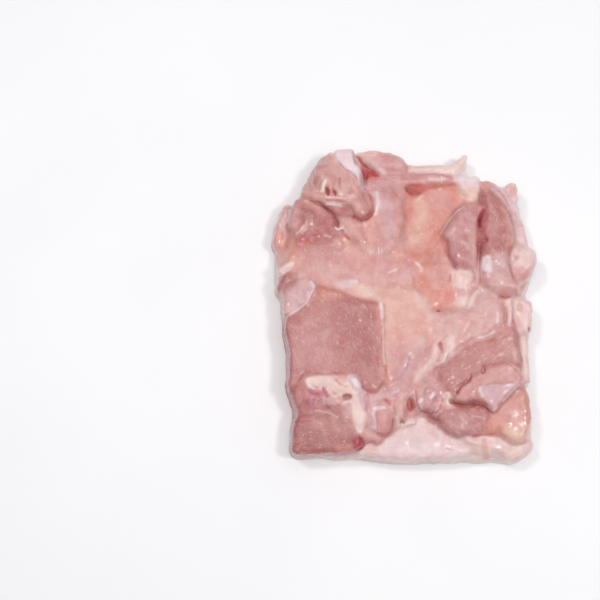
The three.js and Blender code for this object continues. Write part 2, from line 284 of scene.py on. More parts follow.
# Long muscles, folds and lumps, laid over the cushions
STRANDS = (
    Strand("far left skin edge", "film", ((-45, 78.5, 14), (-50, 71.5, 14.5),
                                          (-54.8, 62.5, 14.5)), 2.4, 4),
    Strand("small far left lobe", "peach", ((-42.6, 80, 18.5), (-42.4, 76, 20)), 2.4, 4),
    Strand("left mauve strip", "mauve", ((-48, 73, 19.5), (-49.6, 66, 20.6),
                                         (-49.5, 61.5, 20.6)), 2.6, 4.5),
    Strand("first tan strip", "tan", ((-43.6, 73.5, 21.4), (-42.4, 67.5, 23.4),
                                      (-42.2, 62, 23.2)), 2.9, 4.5, blend=0.5),
    Strand("second tan strip", "tan", ((-37, 73.5, 21.6), (-36.2, 67, 23.4),
                                       (-35.4, 61, 23.4)), 2.6, 4.5, blend=0.5),
    Strand("third tan strip", "tan", ((-32.4, 69, 22.6), (-30.6, 64, 24.2), (-29, 60, 24.6)),
           3.2, 5.5, blend=0.6),
    Strand("white finger", "fat", ((-45.4, 66.6, 23.6), (-46.4, 63.6, 23.4), (-47.2, 61, 22.4)),
           0.9, 2, blend=0.3),
    Strand("strip fold", "tan", ((-56.5, 59.6, 19.6, 0.6), (-50, 58, 22), (-42, 56.8, 23.4),
                                 (-34, 55.8, 23.6, 0.9)), 2.7, 3.6, blend=0.5),
    Strand("second ridge of the fold", "tan", ((-52, 56, 21, 0.7), (-45, 54.4, 22.4),
                                               (-38, 53.4, 22.6, 0.8)), 1.6, 2.6, blend=0.4),
    Strand("underside of the fold", "rose", ((-44, 51.6, 20.8), (-38, 49.8, 21.4),
                                             (-32, 48.4, 21.4)), 3.0, 4.2),
    Strand("round lobe", "tan", ((-31.5, 58.5, 23.8, 0.8), (-28, 54.4, 24.8),
                                 (-26.4, 50.4, 24.2, 0.9)), 4.8, 5.6),
    Strand("crumb of the fold", "fat", ((-38.4, 59.4, 23.6), (-36.8, 58.6, 23.6)), 0.7, 1.2,
           blend=0.3),
    Strand("lip of the top lobe", "skin", ((-25, 78.4, 18.6, 0.7), (-20, 73.4, 19.4),
                                           (-15, 70.6, 18.8, 0.7)), 1.7, 3, blend=1.0),
    Strand("flesh by the red cleft", "mauve", ((-22, 66, 18.2), (-13, 66.5, 18.4),
                                               (-5, 65, 17.8)), 4.4, 6),
    Strand("flesh before the wedge", "pink", ((-13, 61.5, 17.8), (-6, 60.5, 17.2)), 3.4, 5),
    Strand("white edge of the wedge", "membrane", ((-18.6, 60.6, 19.6), (-18.2, 55, 19.8),
                                                   (-19.4, 49, 18.8)), 0.8, 2, blend=0.3),
    Strand("lilac ridge", "lilac", ((-16.4, 57, 19, 0.6), (-14.4, 51.5, 19.4),
                                    (-12.6, 46, 18.8, 0.6)), 2.1, 2.8),
    Strand("fine ridge of the wedge", "lilac", ((-11.6, 52, 19), (-12, 44, 19.1),
                                                (-12.6, 36, 18.9), (-14, 29, 18.4)),
           0.7, 1.6, blend=0.4),
    Strand("tan edge of the wedge", "tan", ((-11.5, 61, 18.2, 0.6), (-7.6, 53, 18.6),
                                            (-7, 43, 18.2), (-9, 33, 17.8, 0.6)), 2.2, 4),
    Strand("light strip", "tan", ((-34.6, 45.2, 20, 0.8), (-29.6, 38.6, 20.8),
                                  (-25.4, 32.4, 20), (-22.8, 27.4, 18.6, 0.6)), 4.2, 4.6,
           blend=1.2),
    Strand("white hook", "membrane", ((-40.2, 40.8, 20.9), (-38.6, 40, 21.2),
                                      (-36.8, 40.8, 21)), 0.6, 1.2, blend=0.3),
    Strand("small brown lump", "tan", ((-39, 35.5, 20.6), (-38, 32, 20.2)), 2.6, 3.2),
    Strand("left strip", "mauve", ((-59.6, 54.4, 17.6, 0.8), (-61.6, 48, 18.2),
                                   (-62.4, 41.5, 17.4, 0.7)), 3.0, 4, blend=3.0),
    Strand("left skin edge", "film", ((-65.6, 51, 12.6), (-68.2, 43, 13), (-70.2, 33, 13)),
           2.6, 4.5),
    Strand("left white fat", "fat", ((-68.4, 17.4, 17.6, 0.7), (-66, 19.6, 18.6),
                                     (-62.6, 21.6, 18.6, 0.7)), 1.7, 2.4, blend=0.4),
    Strand("flesh by the corner", "wine", ((-68.6, 9.5, 17, 0.7), (-65, 13, 18.4),
                                           (-61.5, 15.5, 18.2, 0.8)), 3.0, 4, blend=1.2),
    Strand("far roll", "pink", ((-9, 67, 18, 0.8), (2, 67.4, 18.4), (13, 67.6, 18.2),
                                (22, 67.4, 17, 0.7)), 3.0, 4, blend=1.6),
    Strand("far skin", "skin", ((-2, 73, 15.2), (7, 73.4, 15.8), (16, 73.2, 15.2)), 2.4, 3.6),
    Strand("far fat tip", "fat", ((16, 71.8, 14.8, 0.8), (22, 73.6, 15.2, 1.1),
                                  (25.6, 77, 14.4), (27.6, 80, 13.4, 0.6)), 2.3, 3.6),
    Strand("left lump of the cream fat", "fat", ((26, 68, 17.4), (27.4, 63, 17.6)), 2.3, 2.6),
    Strand("right lump of the cream fat", "fat", ((31.6, 67, 17.2), (31, 60, 17.4)), 2.6, 2.6),
    Strand("ridge in the hollow", "peach", ((5.8, 59, 15), (2.6, 55.4, 15.4), (1.4, 51.5, 14.8)),
           1.1, 2, blend=1.0),
    Strand("pink strip in the hollow", "pink", ((13.4, 33, 15.6, 0.7), (11.4, 27.5, 16.6),
                                                (10.4, 22, 16.2)), 1.4, 2.4),
    Strand("upper part of the inner muscle", "mauve", ((26.5, 49, 20.4, 0.8), (25, 42, 21),
                                                       (24, 36, 20.6)), 5.2, 5, blend=2.0),
    Strand("lower part of the inner muscle", "rose", ((24.5, 33, 21), (26, 24, 20.6)),
           5.0, 5, blend=2.0),
    Strand("edge of the cleft", "mauve", ((31.6, 48, 20.4), (31.8, 36, 20.8), (31.9, 24, 20.4)),
           1.6, 3),
    Strand("tan strip of the outer muscle", "tan", ((48, 50.5, 20.6), (50.2, 42, 20.8),
                                                    (50.4, 33, 20.4)), 2.4, 4, blend=1.6),
    Strand("far right fold", "lilac", ((38.6, 66.6, 17.6, 0.7), (43.4, 64, 18.2),
                                       (48, 60, 18.4), (51, 54.6, 18), (53.4, 48.6, 17),
                                       (56, 44, 15.6, 0.7)), 1.7, 3),
    Strand("white edge by the fold", "membrane", ((47, 62, 17.6), (51, 57, 17.6),
                                                  (54, 51.5, 17)), 0.9, 2.4, blend=0.4),
    Strand("flesh at the far right", "tan", ((36.6, 65.6, 18), (38.6, 62.6, 19.4)), 2.2, 3.6),
    Strand("skin below the far right", "skin", ((55.6, 45, 14), (57, 38, 14.4), (57.6, 32, 14.4)),
           2.8, 4.5),
    Strand("finger of fat", "skin", ((33, 8.4, 19.8, 0.8), (31, 4.6, 19.9), (28.2, -0.6, 19, 0.8)),
           1.6, 2.4, blend=0.5),
    Strand("left lump of the inner fat", "fat", ((24, 15.4, 18.8), (22.8, 11.4, 18.4)), 2.4, 2.4),
    Strand("right lump of the inner fat", "fat", ((27.6, 14.8, 18.8), (26.6, 9.6, 18.4)),
           2.2, 2.4),
    Strand("pale fold beside the pad", "film", ((10, -2.5, 17.8, 0.8), (13, -10, 18.8),
                                                (11, -18, 18.4, 0.8)), 2.4, 3.2, blend=1.6),
    Strand("fold at the right", "skin", ((49, 3.4, 18.6), (49.4, -3, 19), (48.8, -9, 18.6)),
           1.5, 3),
    Strand("right skin edge", "skin", ((57, -14, 12.4), (56.8, -25, 12.4), (57.4, -38, 12.4)),
           2.3, 4),
    Strand("cream spot", "fat", ((51, -23.6, 19.8), (51.4, -27, 19.8)), 1.2, 1.6, blend=0.4),
    Strand("right crumb", "fat", ((18.6, -18.4, 19.8), (18.4, -24, 19.6)), 1.1, 1.8, blend=0.4),
    Strand("upper cream fat", "fat", ((11.4, -20.6, 19.4), (10.6, -25, 19.6), (9, -28.4, 19.2)),
           1.6, 2.6),
    Strand("pink line of fat", "skin", ((16.4, -24.2, 20), (14.4, -28.4, 20),
                                        (10.4, -31.2, 19.4)), 0.9, 1.8, blend=0.3),
    Strand("lower cream fat", "fat", ((8, -29.2, 19, 0.7), (4.4, -32.4, 19.2),
                                      (1.6, -35.6, 18.8), (-0.6, -38.6, 18, 0.5)), 1.7, 2.6,
           blend=0.5),
    Strand("first streak", "pink", ((8, -17, 18.8), (2, -26, 18.8), (-5, -37.5, 18.2)),
           1.3, 2),
    Strand("second streak", "mauve", ((8.4, -21, 18.8), (3, -29, 18.6), (-2, -37, 18)), 1.2, 2),
    Strand("third streak", "film", ((-4, -28, 19), (-8.4, -36, 18.4)), 1.3, 2),
    Strand("strand by the square muscle's corner", "orange",
           ((-19.6, -27, 19.8), (-16.4, -33, 20), (-14.6, -38.5, 19.4)), 1.4, 2.4, blend=0.6),
    Strand("mauve edge of the near right muscle", "mauve", ((6, -37, 18), (12.5, -40, 18.4)),
           4, 4.4),
    Strand("brown lump", "tan", ((-6, -45, 18), (-7.4, -51, 18.8), (-6.6, -57, 17.8, 0.7)),
           3.6, 5),
    Strand("shiny lobe", "mauve", ((8, -44.6, 19.2), (7, -50, 19)), 4.2, 5),
    Strand("small shiny lobe", "film", ((3, -47.4, 18.8), (3.2, -51.5, 18.2)), 2, 3),
    Strand("pale crumb", "fat", ((16.6, -46, 19.4), (16.6, -50.6, 18.8)), 0.9, 2, blend=0.4),
    Strand("pink bit", "pink", ((12, -50.6, 18.2), (13.6, -56, 17.4)), 2.6, 3.6),
    Strand("left curl of skin", "skin", ((-9.2, -56, 17.4), (-8.2, -60.6, 16)), 0.8, 2),
    Strand("right curl of skin", "skin", ((-5.2, -60.6, 15.6), (-1, -59.6, 16)), 0.9, 2),
    Strand("lilac band", "lilac", ((-22, -48, 18.8, 0.7), (-15, -45.4, 19), (-8, -42.6, 18.2)),
           2.0, 2.6, blend=1.4),
    Strand("near left lobe", "pink", ((-16.8, -55, 19.6), (-16, -60.6, 19)), 5.3, 6),
    Strand("lilac side of the lobe", "lilac", ((-21.6, -54.5, 18.4), (-21, -62, 17.6)),
           1.6, 3.2),
    Strand("flesh below the lobe", "pink", ((-25, -64.6, 16.8), (-19, -67.4, 15.8)), 2.6, 4),
    Strand("gristle", "fat", ((-54.5, -38.8, 18.4, 0.7), (-46, -38.8, 19.7), (-38, -41.4, 19.8),
                              (-32.4, -45, 19.9), (-29.2, -50, 19.4), (-28.4, -57, 18.4),
                              (-28.4, -64, 16.8, 0.6)), 4.0, 4, blend=2.0),
    Strand("white piece", "membrane", ((-31.6, -37.4, 21.2), (-29.8, -40.8, 21.4)), 2.0, 2.6,
           blend=0.4),
    Strand("lilac piece", "lilac", ((-27.2, -45, 20), (-26.6, -51.6, 19.4)), 1.4, 2.4,
           blend=0.4),
    Strand("bruised flesh", "pink", ((-54, -46, 18.8), (-49.5, -46.6, 19.4),
                                     (-45, -45.4, 19.4)), 3, 3.6),
    Strand("grey muscle", "brown", ((-42, -49.6, 19), (-38.4, -54, 19), (-34.6, -59, 18.2)),
           3.7, 4.4),
    Strand("near right roll of skin", "skin", ((26, -71.4, 13), (33, -70.6, 14.6),
                                               (41, -71.4, 15), (48, -74, 13.8),
                                               (56, -70.6, 12.4)), 4.6, 6),
    Strand("far end of the roll", "fat", ((26.5, -68.6, 14.8), (31, -69.4, 15.4)), 2.2, 4),
)

# Deep gaps, cut into the lobes at the end
CLEFTS = (
    Cleft("between the long muscles", ((36.6, 50.6, 19.5), (34.8, 46, 17.5), (34.3, 41, 18.6),
                                       (34.2, 36, 19), (34.1, 31.5, 17.4), (34.2, 27, 18.8),
                                       (34.3, 20, 19.4)), 0.5),
    Cleft("branch of it", ((38.2, 35, 20.4), (35, 33, 18.5)), 0.4),
    Cleft("beside the membrane flap", ((-29, 78.6, 15), (-27, 74.6, 14.5), (-25, 70.4, 15.4),
                                       (-24.8, 66, 17.4), (-25, 62, 19.6)), 0.9),
    Cleft("under the top lobe", ((-27, 76, 15), (-23.4, 72.6, 15.4), (-18.4, 69.6, 17)), 1.2),
    Cleft("under the strip fold", ((-53.5, 55, 19.2), (-48.6, 53, 18.6), (-44.6, 50.4, 18.6),
                                   (-41, 47, 18.4), (-39.2, 42.6, 19)), 0.5),
    Cleft("round the lobe", ((-24.2, 62, 19.8), (-21.8, 57.4, 18.6), (-20.8, 52, 18),
                             (-21.8, 48, 18), (-24.2, 45.4, 18.2), (-27, 44.6, 18.8),
                             (-30, 46.6, 19.6)), 0.5),
    Cleft("first hole", ((-44.8, 62, 21.4), (-44, 59.2, 20.4)), 0.55),
    Cleft("second hole", ((-41, 60.4, 21.6), (-40.4, 58.6, 21)), 0.5),
    Cleft("under the far roll", ((-3, 61.8, 15.4), (2, 60.2, 14.6), (7, 61, 15.4)), 0.5),
    Cleft("beside the inner muscle", ((17.2, 33.6, 17.4), (16.6, 28.4, 17), (18.6, 24, 17),
                                      (21, 20.8, 17.4)), 0.4),
    Cleft("under the lilac lobe", ((44.6, 5.2, 17.6), (47.4, 4.6, 16.8), (50, 5.2, 17.6)), 0.6),
    Cleft("beside the pale pad", ((46.8, -0.8, 18.2), (47.1, -5, 17.6), (46.3, -9.6, 18.2)),
          0.35),
    Cleft("under the flap", ((17.8, -49, 16.4), (22, -50.4, 15.4), (29, -51, 15.4),
                             (34.6, -51.4, 15.8), (37.8, -54, 16.8)), 0.6),
    Cleft("beside the flap", ((28.6, -35.4, 19.6), (27, -38.4, 19), (23, -41, 18.6),
                              (21.2, -45, 18.4)), 0.25),
    Cleft("above the flap", ((35, -31.4, 18.6), (34.4, -34, 18.6)), 0.4),
    Cleft("beside the shiny lobe", ((-2.6, -48.4, 15.6), (-2.2, -52.4, 15.2)), 1.1),
    Cleft("below the shiny lobe", ((6.4, -56.8, 14), (9.8, -59, 13.6)), 1.4),
    Cleft("below the brown lump", ((-7, -58.8, 15), (-6, -60, 14.6)), 0.6),
    Cleft("hole in the gristle", ((-35, -47.2, 19.2), (-33, -46.6, 19.2)), 0.6),
    Cleft("right of the lobe", ((-11, -55.5, 16.8), (-10.6, -61, 15.8)), 0.5),
)

# Tissue of the bed where it shows: tissue, outline and width of the fading edge
GROUND = (
    Patch("pink", ((-58, 26), (-58, 12), (-40, 8), (-14, 8), (2, 12), (2, 22), (-10, 28),
                   (-34, 30)), 8, 0.6),
    Patch("salmon", ((-6, 63), (10, 64), (25, 65), (27, 54), (18, 42), (14, 26), (10, 20),
                     (2, 22), (-4, 30), (-5, 48)), 3, 1.0),
    Patch("tan", ((-50, 74), (-40, 80), (-26, 82), (-22, 62), (-34, 54), (-56, 57)), 6, 0.8),
    Patch("mauve", ((-26, 70), (-6, 70), (-2, 62), (-8, 56), (-26, 58)), 5, 0.9),
    Patch("rose", ((-62, -40), (-54, -42), (-44, -44), (-40, -56), (-58, -58), (-62, -50)),
          4, 0.9),
    Patch("pink", ((-28, -44), (-2, -40), (12, -44), (20, -52), (16, -62), (-4, -62),
                   (-12, -66), (-26, -68)), 4, 0.9),
    Patch("mauve", ((-16, -30), (8, -20), (14, -30), (4, -42), (-12, -44)), 4, 0.7),
    Patch("rose", ((-46, 54), (-34, 54), (-28, 48), (-36, 42), (-46, 46)), 4, 0.8),
    Patch("skin", ((-34, -80), (-26, -71), (-10, -64), (2, -56), (22, -69), (40, -66),
                   (50, -70), (62, -66), (64, -84)), 2.5, 1.0),
    Patch("skin", ((53.5, -8), (54.5, -40), (64, -40), (64, 4), (54, 4)), 3, 1.0),
    Patch("skin", ((53, 50), (53, 34), (70, 34), (70, 60)), 4, 1.0),
    Patch("film", ((-44, 84), (-49, 73), (-56, 60), (-62, 56), (-58, 80)), 3, 0.8),
)

# Patches over everything: the fading edge is narrow where a sheet ends, and wide elsewhere
PATCHES = (
    # Far left lobes
    Patch("membrane", ((-40.6, 83.6), (-35, 84.4), (-30.2, 83.6), (-29.6, 78), (-27.4, 73),
                       (-25.9, 67), (-26.3, 62), (-27.6, 67), (-31.4, 70.6), (-35.4, 73),
                       (-37.6, 76), (-38.6, 80)), 0.8, 1.0),
    Patch("fat", ((-45, 82), (-41, 82.6), (-40.6, 80.4), (-43.6, 80)), 1.6, 0.6),
    Patch("wine", ((-51.4, 68), (-48, 69), (-47, 62), (-49.6, 60.6), (-51, 63)), 2, 0.6),
    Patch("pink", ((-50, 73), (-47, 73), (-47.6, 69), (-50.4, 69)), 2, 0.5),
    Patch("rose", ((-46, 52.2), (-36, 51.6), (-31, 50.4), (-30, 47.6), (-34, 46), (-40, 48)),
          2, 0.6),
    # Painted shadow beside the membrane flap
    Patch("deep", ((-29.2, 79.8), (-26.4, 77.6), (-22, 73), (-17, 69.2), (-21, 68.2),
                   (-25.2, 66.4), (-26.6, 72.4)), 1.2, 1.0),
    Patch("blood", ((-26.8, 76), (-24.6, 74), (-24.4, 69.4), (-25.6, 68)), 1.4, 0.4),
    # Red flesh with painted shadow under the top lobe
    Patch("ember", ((-24, 70.4), (-18, 69.6), (-15, 68.2), (-22, 66.6)), 2, 0.5),
    Patch("film", ((-27, 82), (-12, 82), (-4, 77), (-8, 72), (-18, 73)), 5, 0.4),
    Patch("fat", ((-28.8, 82), (-23, 83.6), (-18.6, 81.6), (-22, 78.4), (-26.4, 78.4)), 3, 0.6),
    Patch("pink", ((-8, 69.6), (22, 69.6), (23, 65.4), (-6, 65.4)), 2.4, 0.6),
    Patch("membrane", ((22, 70.6), (37, 69.6), (34.6, 63), (24.6, 62)), 2.4, 0.8),
    Patch("tan", ((-33, 59), (-27, 59), (-22, 53), (-24, 47), (-30, 48)), 3, 0.4),
    Patch("tan", ((-36, 45), (-31, 45), (-21, 29), (-24, 27), (-33, 36)), 2.4, 0.5),
    Patch("mauve", ((-21, 78.8), (-12, 79), (-9, 75.6), (-16, 74.8)), 3, 0.5),
    # Left side and middle band
    Patch("peach", ((-71, 38), (-64, 37), (-60, 30), (-58, 23), (-63, 21), (-71, 22)), 6, 0.9),
    Patch("orange", ((-70, 35), (-62, 34), (-62, 25), (-70, 26)), 6, 0.35),
    Patch("wine", ((-58, 49), (-44, 48), (-38, 42), (-40, 35), (-50, 31), (-61, 32),
                   (-60, 40)), 8, 0.75),
    Patch("deep", ((-61, 36), (-52, 45), (-42, 45), (-39, 36), (-49, 31), (-60, 31)), 8, 0.34),
    Patch("ember", ((-62, 33), (-57, 36), (-54, 34), (-56, 31), (-61, 31.6)), 3, 0.5),
    Patch("pink", ((-55, 29), (-36, 29), (-30, 24), (-44, 19), (-58, 21)), 8, 0.7),
    Patch("orange", ((-38, 28), (-26, 27.4), (-21, 21), (-32, 23)), 6, 0.4),
    Patch("film", ((-48, 20), (-30, 18), (-26, 12), (-44, 12)), 6, 0.4),
    Patch("membrane", ((-40, 12.6), (-30, 13.4), (-28, 9.6), (-34, 8.4), (-40, 10)), 3.4, 0.6),
    Patch("butter", ((-31, 11.8), (-22, 11), (-16, 7), (-17.6, 2.2), (-24, 3.6), (-30, 7)),
          3.4, 0.8),
    Patch("fat", ((-28, 10.4), (-22, 9.4), (-18, 5), (-17, 2.4), (-21, 2.6)), 3, 0.4),
    Patch("fat", ((-69, 18.6), (-66, 21.8), (-62.2, 23), (-62.4, 20.6), (-66, 17.4),
                  (-68.8, 16)), 1.2, 0.95),
    Patch("wine", ((-69, 11), (-66, 14), (-61, 16), (-60, 9), (-64, 7.6), (-68, 7.4)), 3, 0.6),
    Patch("lilac", ((-63, 8), (-52, 12.6), (-50.8, 9.6), (-55, 1.6), (-60, -2.6), (-64, 1)),
          4, 0.6),
    # Square muscle
    Patch("orange", ((-50, 10.4), (-44, 9.6), (-37, 7), (-32, 4.2), (-40, 3.4), (-49, 4)),
          4, 0.6),
    Patch("wine", ((-38, 4), (-26, 2), (-20, -1), (-18.4, -14), (-19, -28), (-26, -33),
                   (-35, -24), (-38.5, -8)), 8, 0.6),
    Patch("mauve", ((-62, -12), (-43, -10), (-41, -26), (-44, -33), (-61, -32)), 9, 0.65),
    Patch("wine", ((-67, -9), (-63.6, -9), (-62.6, -34), (-60, -48), (-66, -50)), 2.6, 0.55),
    Patch("orange", ((-19, -1), (-16.8, -1), (-16.6, -16), (-19, -17)), 2, 0.5),
    Patch("tan", ((-31, -1), (-26, -2), (-23, -8), (-27, -9)), 4, 0.35),
    # Smooth pad and the streaks below it
    Patch("butter", ((-14, 10), (-4, 10), (1, 2), (-3, -12), (-14, -8)), 9, 0.35),
    Patch("mauve", ((-14, -21), (0, -20), (1, -28), (-6, -38), (-14, -36)), 8, 0.6),
    Patch("lilac", ((3, -14), (8, -16), (2, -26), (-6, -36), (-8, -33), (-1, -24)), 3, 0.4),
    Patch("skin", ((2.4, 9), (5.6, 4), (9.6, -3), (8, -8), (5, -4), (0, 4)), 3, 0.6),
    Patch("orange", ((-15, -29), (-12.6, -30), (-12.4, -38), (-14.6, -37)), 2, 0.6),
    Patch("magenta", ((6.8, -33.4), (10.2, -32.4), (9.6, -35.8), (6.6, -36)), 1.8, 0.5),
    # Salmon hollow and wet red pad
    # Red wet flesh with painted shadow under the far roll
    Patch("ember", ((-4, 62), (-1, 64.6), (8, 64.8), (17, 65), (22, 65), (21, 61.8),
                    (10, 61.4), (4, 59), (1, 58.4)), 1.8, 0.75),
    Patch("deep", ((-3, 61.8), (1, 61.4), (4.6, 59.8), (2, 57), (-1, 58.4)), 1.6, 0.85),
    Patch("orange", ((16, 65), (22.5, 66), (24.6, 60), (25.4, 54), (20, 54), (17, 58)), 3, 0.6),
    Patch("ember", ((-4, 56), (0, 56), (1, 50), (-3, 46)), 4, 0.3),
    Patch("pink", ((8, 60), (17, 60.6), (21, 54), (14, 47), (8, 50)), 6, 0.5),
    Patch("orange", ((14, 52), (20.6, 50), (17, 44.6), (13.4, 43)), 3, 0.6),
    Patch("butter", ((0, 55), (4, 58), (7, 52), (8, 44), (4, 35), (-3, 30), (-3, 38), (1, 46)),
          5, 0.6),
    Patch("orange", ((9, 50), (14, 48), (15, 40), (15, 32), (8, 27), (0, 27), (7, 36)), 6, 0.6),
    Patch("salmon", ((-14, 28), (-4, 30), (2, 24), (-2, 18), (-12, 20)), 8, 0.4),
    Patch("pink", ((-8, 38), (-3, 38), (-2, 29), (-7, 30)), 4, 0.5),
    # Painted shade in the cleft beside the inner muscle
    Patch("ember", ((15.6, 36), (18, 36), (17.6, 27), (15.6, 27)), 1.8, 0.5),
    Patch("orange", ((0, 19), (8, 19.4), (9, 11), (5, 7), (1.4, 10.4)), 5, 0.9),
    Patch("pink", ((8.6, 18.6), (17, 18.6), (18.4, 12), (10, 10)), 5, 0.7),
    Patch("ember", ((8, 7), (20, 9.6), (20.6, 3), (16, -1), (10, -0.6)), 5, 0.45),
    Patch("pink", ((22, 9), (29, 8.4), (29, 6), (23, 5.6)), 2, 0.8),
    Patch("pink", ((30, 14), (34, 14), (34, 10), (31, 9.4)), 2, 0.6),
    # Long muscles and the fat round them
    # Red of the flesh and painted shade in the cleft between the long muscles
    Patch("deep", ((36.6, 50.8), (39.2, 51), (38.9, 42), (38.4, 35), (35.4, 30), (34.6, 36),
                   (35, 44)), 1.6, 0.5),
    Patch("tan", ((46, 56), (50, 52), (52.6, 44), (52, 34), (49, 32), (48, 42), (46, 50)),
          3, 0.6),
    Patch("orange", ((48.6, 33), (51.6, 33.4), (51.4, 29.6), (49.2, 29.4)), 2.4, 0.6),
    Patch("orange", ((35, 66.6), (38.4, 67.4), (38.8, 64), (35.4, 62.6)), 1.8, 0.5),
    Patch("ember", ((51.2, 62.8), (53.8, 62.6), (54, 59), (51.8, 58.6)), 2, 0.4),
    Patch("butter", ((25.6, 62), (33.6, 62.8), (34, 58), (30.6, 55.4), (26.4, 57)), 3, 0.7),
    Patch("orange", ((13.6, 41), (15.4, 41), (17, 36), (15.6, 27), (13, 28), (13, 36)), 2, 0.5),
    # Painted highlight on the lilac lobe's end
    Patch("membrane", ((34.8, 22.6), (36.6, 26.6), (40, 26.4), (41, 21), (39.6, 18.2),
                       (34.8, 18.6)), 1.6, 0.85, 0.2),
    Patch("lilac", ((41.6, 25), (49, 24.6), (49.4, 18), (42, 17.6)), 3, 0.6),
    Patch("tan", ((34.4, 18), (37, 14.6), (42, 10), (46, 7), (41, 6.2), (35.6, 9)), 3, 0.85),
    Patch("pink", ((44, 8.8), (54, 10.4), (54.6, 7), (49, 5.4), (44, 5.8)), 2, 0.7),
    Patch("pink", ((50.4, 20.6), (58, 20), (60.4, 16.4), (55, 13.2), (51.2, 15.2)), 3, 0.85),
    Patch("wine", ((52.8, 26.8), (54.6, 26.4), (54.2, 24.4), (52.6, 24.8)), 1.2, 0.5),
    Patch("tan", ((53, 1.8), (55, 1.6), (55.2, -1.8), (53.2, -1.6)), 1.4, 0.9),
    # Pale pad and near right muscles
    Patch("peach", ((20, -6), (30, -3), (33, -9), (24, -12)), 5, 0.4),
    Patch("fat", ((16, -16.6), (20.6, -16), (20.4, -24), (17, -25.4)), 2, 0.6),
    Patch("wine", ((10.6, -31.6), (16, -30), (18, -34), (14, -39), (11, -37.6)), 4, 0.7),
    Patch("lilac", ((32.6, -41), (37, -40), (42, -39.5), (53, -39.5), (50, -43), (45, -47),
                    (41, -50.6), (39.4, -53), (37, -50.2), (34.6, -47.4), (32.8, -44.4)),
          1.0, 0.9, 0.3),
    Patch("wine", ((27, -46.4), (33, -45.4), (36.4, -49.6), (34, -50.6), (27, -50)), 2, 0.6),
    Patch("magenta", ((36, -52.4), (38.6, -54), (38, -57.4), (35.8, -56)), 2, 0.4),
    Patch("orange", ((35.6, -57.6), (43, -57), (45, -62), (41, -65.2), (35, -64.6)), 3.4, 0.7),
    Patch("deep", ((28, -65.6), (31, -65.2), (31.8, -66.8), (28.8, -67)), 1.2, 0.6),
    Patch("butter", ((46, -60.4), (57.4, -60), (56, -68.8), (48, -68.4), (45, -64.4)), 4, 0.75),
    Patch("brown", ((16, -54), (30, -53), (36, -55), (34, -62), (24, -64), (15, -60)), 5, 0.4),
    Patch("salmon", ((42, -52), (56, -43), (58, -58), (44, -60)), 6, 0.35),
    Patch("wine", ((14, -35), (24, -28), (38, -26), (34, -32), (26, -37), (18, -42)), 6, 0.35),
    Patch("fat", ((28, -68), (46, -68), (54, -72), (48, -78), (28, -78)), 4, 0.45),
    Patch("membrane", ((-14, -69), (0, -63), (16, -69), (24, -73), (20, -77), (-16, -77)),
          5, 0.45),
    # Gristle, bruise and near left muscle
    Patch("fat", ((-54.6, -37), (-46, -36.6), (-40, -37.2), (-38.6, -40.4), (-34.6, -40),
                  (-31, -42.4), (-28.4, -47), (-25.8, -54), (-26, -61), (-28.6, -65),
                  (-30.6, -60), (-31.4, -52), (-33, -49.6), (-38, -46), (-42, -43),
                  (-48, -41.6), (-54, -41.4)), 1.5, 0.85),
    Patch("brown", ((-36.4, -46.6), (-35, -45.2), (-32.2, -45.6), (-32.4, -48), (-35, -48.6)),
          1, 0.8),
    Patch("membrane", ((-33.6, -37.6), (-31, -36.4), (-29.4, -37.4), (-27.8, -41),
                       (-28.6, -43), (-31, -41.6), (-33, -39.4)), 0.9, 1.0),
    Patch("lilac", ((-28.6, -44.6), (-26.6, -44.6), (-25.4, -49), (-26, -53.6), (-27.6, -51)),
          1, 0.85),
    Patch("magenta", ((-54, -44), (-49, -42.4), (-45.6, -42), (-43.4, -46.4), (-48, -49.4),
                      (-53.4, -51.8)), 3, 0.85),
    Patch("lilac", ((-53, -46.6), (-49.6, -46.4), (-50, -50), (-53.4, -50.6)), 1.6, 0.5),
    Patch("skin", ((-47, -47), (-42, -46.4), (-38, -49), (-40, -50.6), (-46, -50.6)), 2, 0.5),
    Patch("wine", ((-60.6, -49), (-55, -49.6), (-54, -51.6), (-60, -52)), 2, 0.6),
    Patch("lilac", ((-37, -50.4), (-32.6, -50), (-31.6, -54), (-34, -57), (-37, -55)), 2, 0.5),
    Patch("wine", ((-60, -55), (-56, -55.6), (-55, -59.6), (-59, -61)), 3, 0.5),
    Patch("orange", ((-40, -71.4), (-33, -70.8), (-31.4, -73.6), (-39, -74.4)), 2.5, 0.6),
    Patch("blood", ((-31, -67.8), (-27.6, -67.2), (-25.6, -71), (-28.4, -73), (-31.6, -72.4)),
          1.0, 1.0),
    # Small lobes in the middle of the near side
    Patch("film", ((-23, -46), (-14, -43.6), (-9, -42), (-11, -46), (-18, -50), (-22, -51)),
          3, 0.5),
    Patch("deep", ((-15.6, -47.8), (-13, -48.4), (-11.8, -51.4), (-14, -50.8)), 1.4, 0.7),
    Patch("deep", ((-19, -64.4), (-15.2, -64.4), (-14.4, -66.2), (-18, -67)), 1.4, 0.7),
    # Red of the flesh and painted shade in a hole beside the shiny lobe
    Patch("deep", ((-4.6, -48), (-0.6, -47.4), (0, -51), (-1.6, -53.4), (-4, -52.6)), 1.6, 0.75),
    Patch("mauve", ((-4, -54), (0.4, -53.8), (0.6, -57.4), (-3.4, -58)), 2, 0.5),
    Patch("magenta", ((5.8, -55.6), (9, -55.4), (10.8, -58), (9.6, -60.4), (6.2, -58.6)),
          1.2, 0.6),
    Patch("wine", ((6, -55.8), (9, -55.6), (10.6, -58), (9.6, -60.2), (6.4, -58.4)), 1.2, 0.7),
)

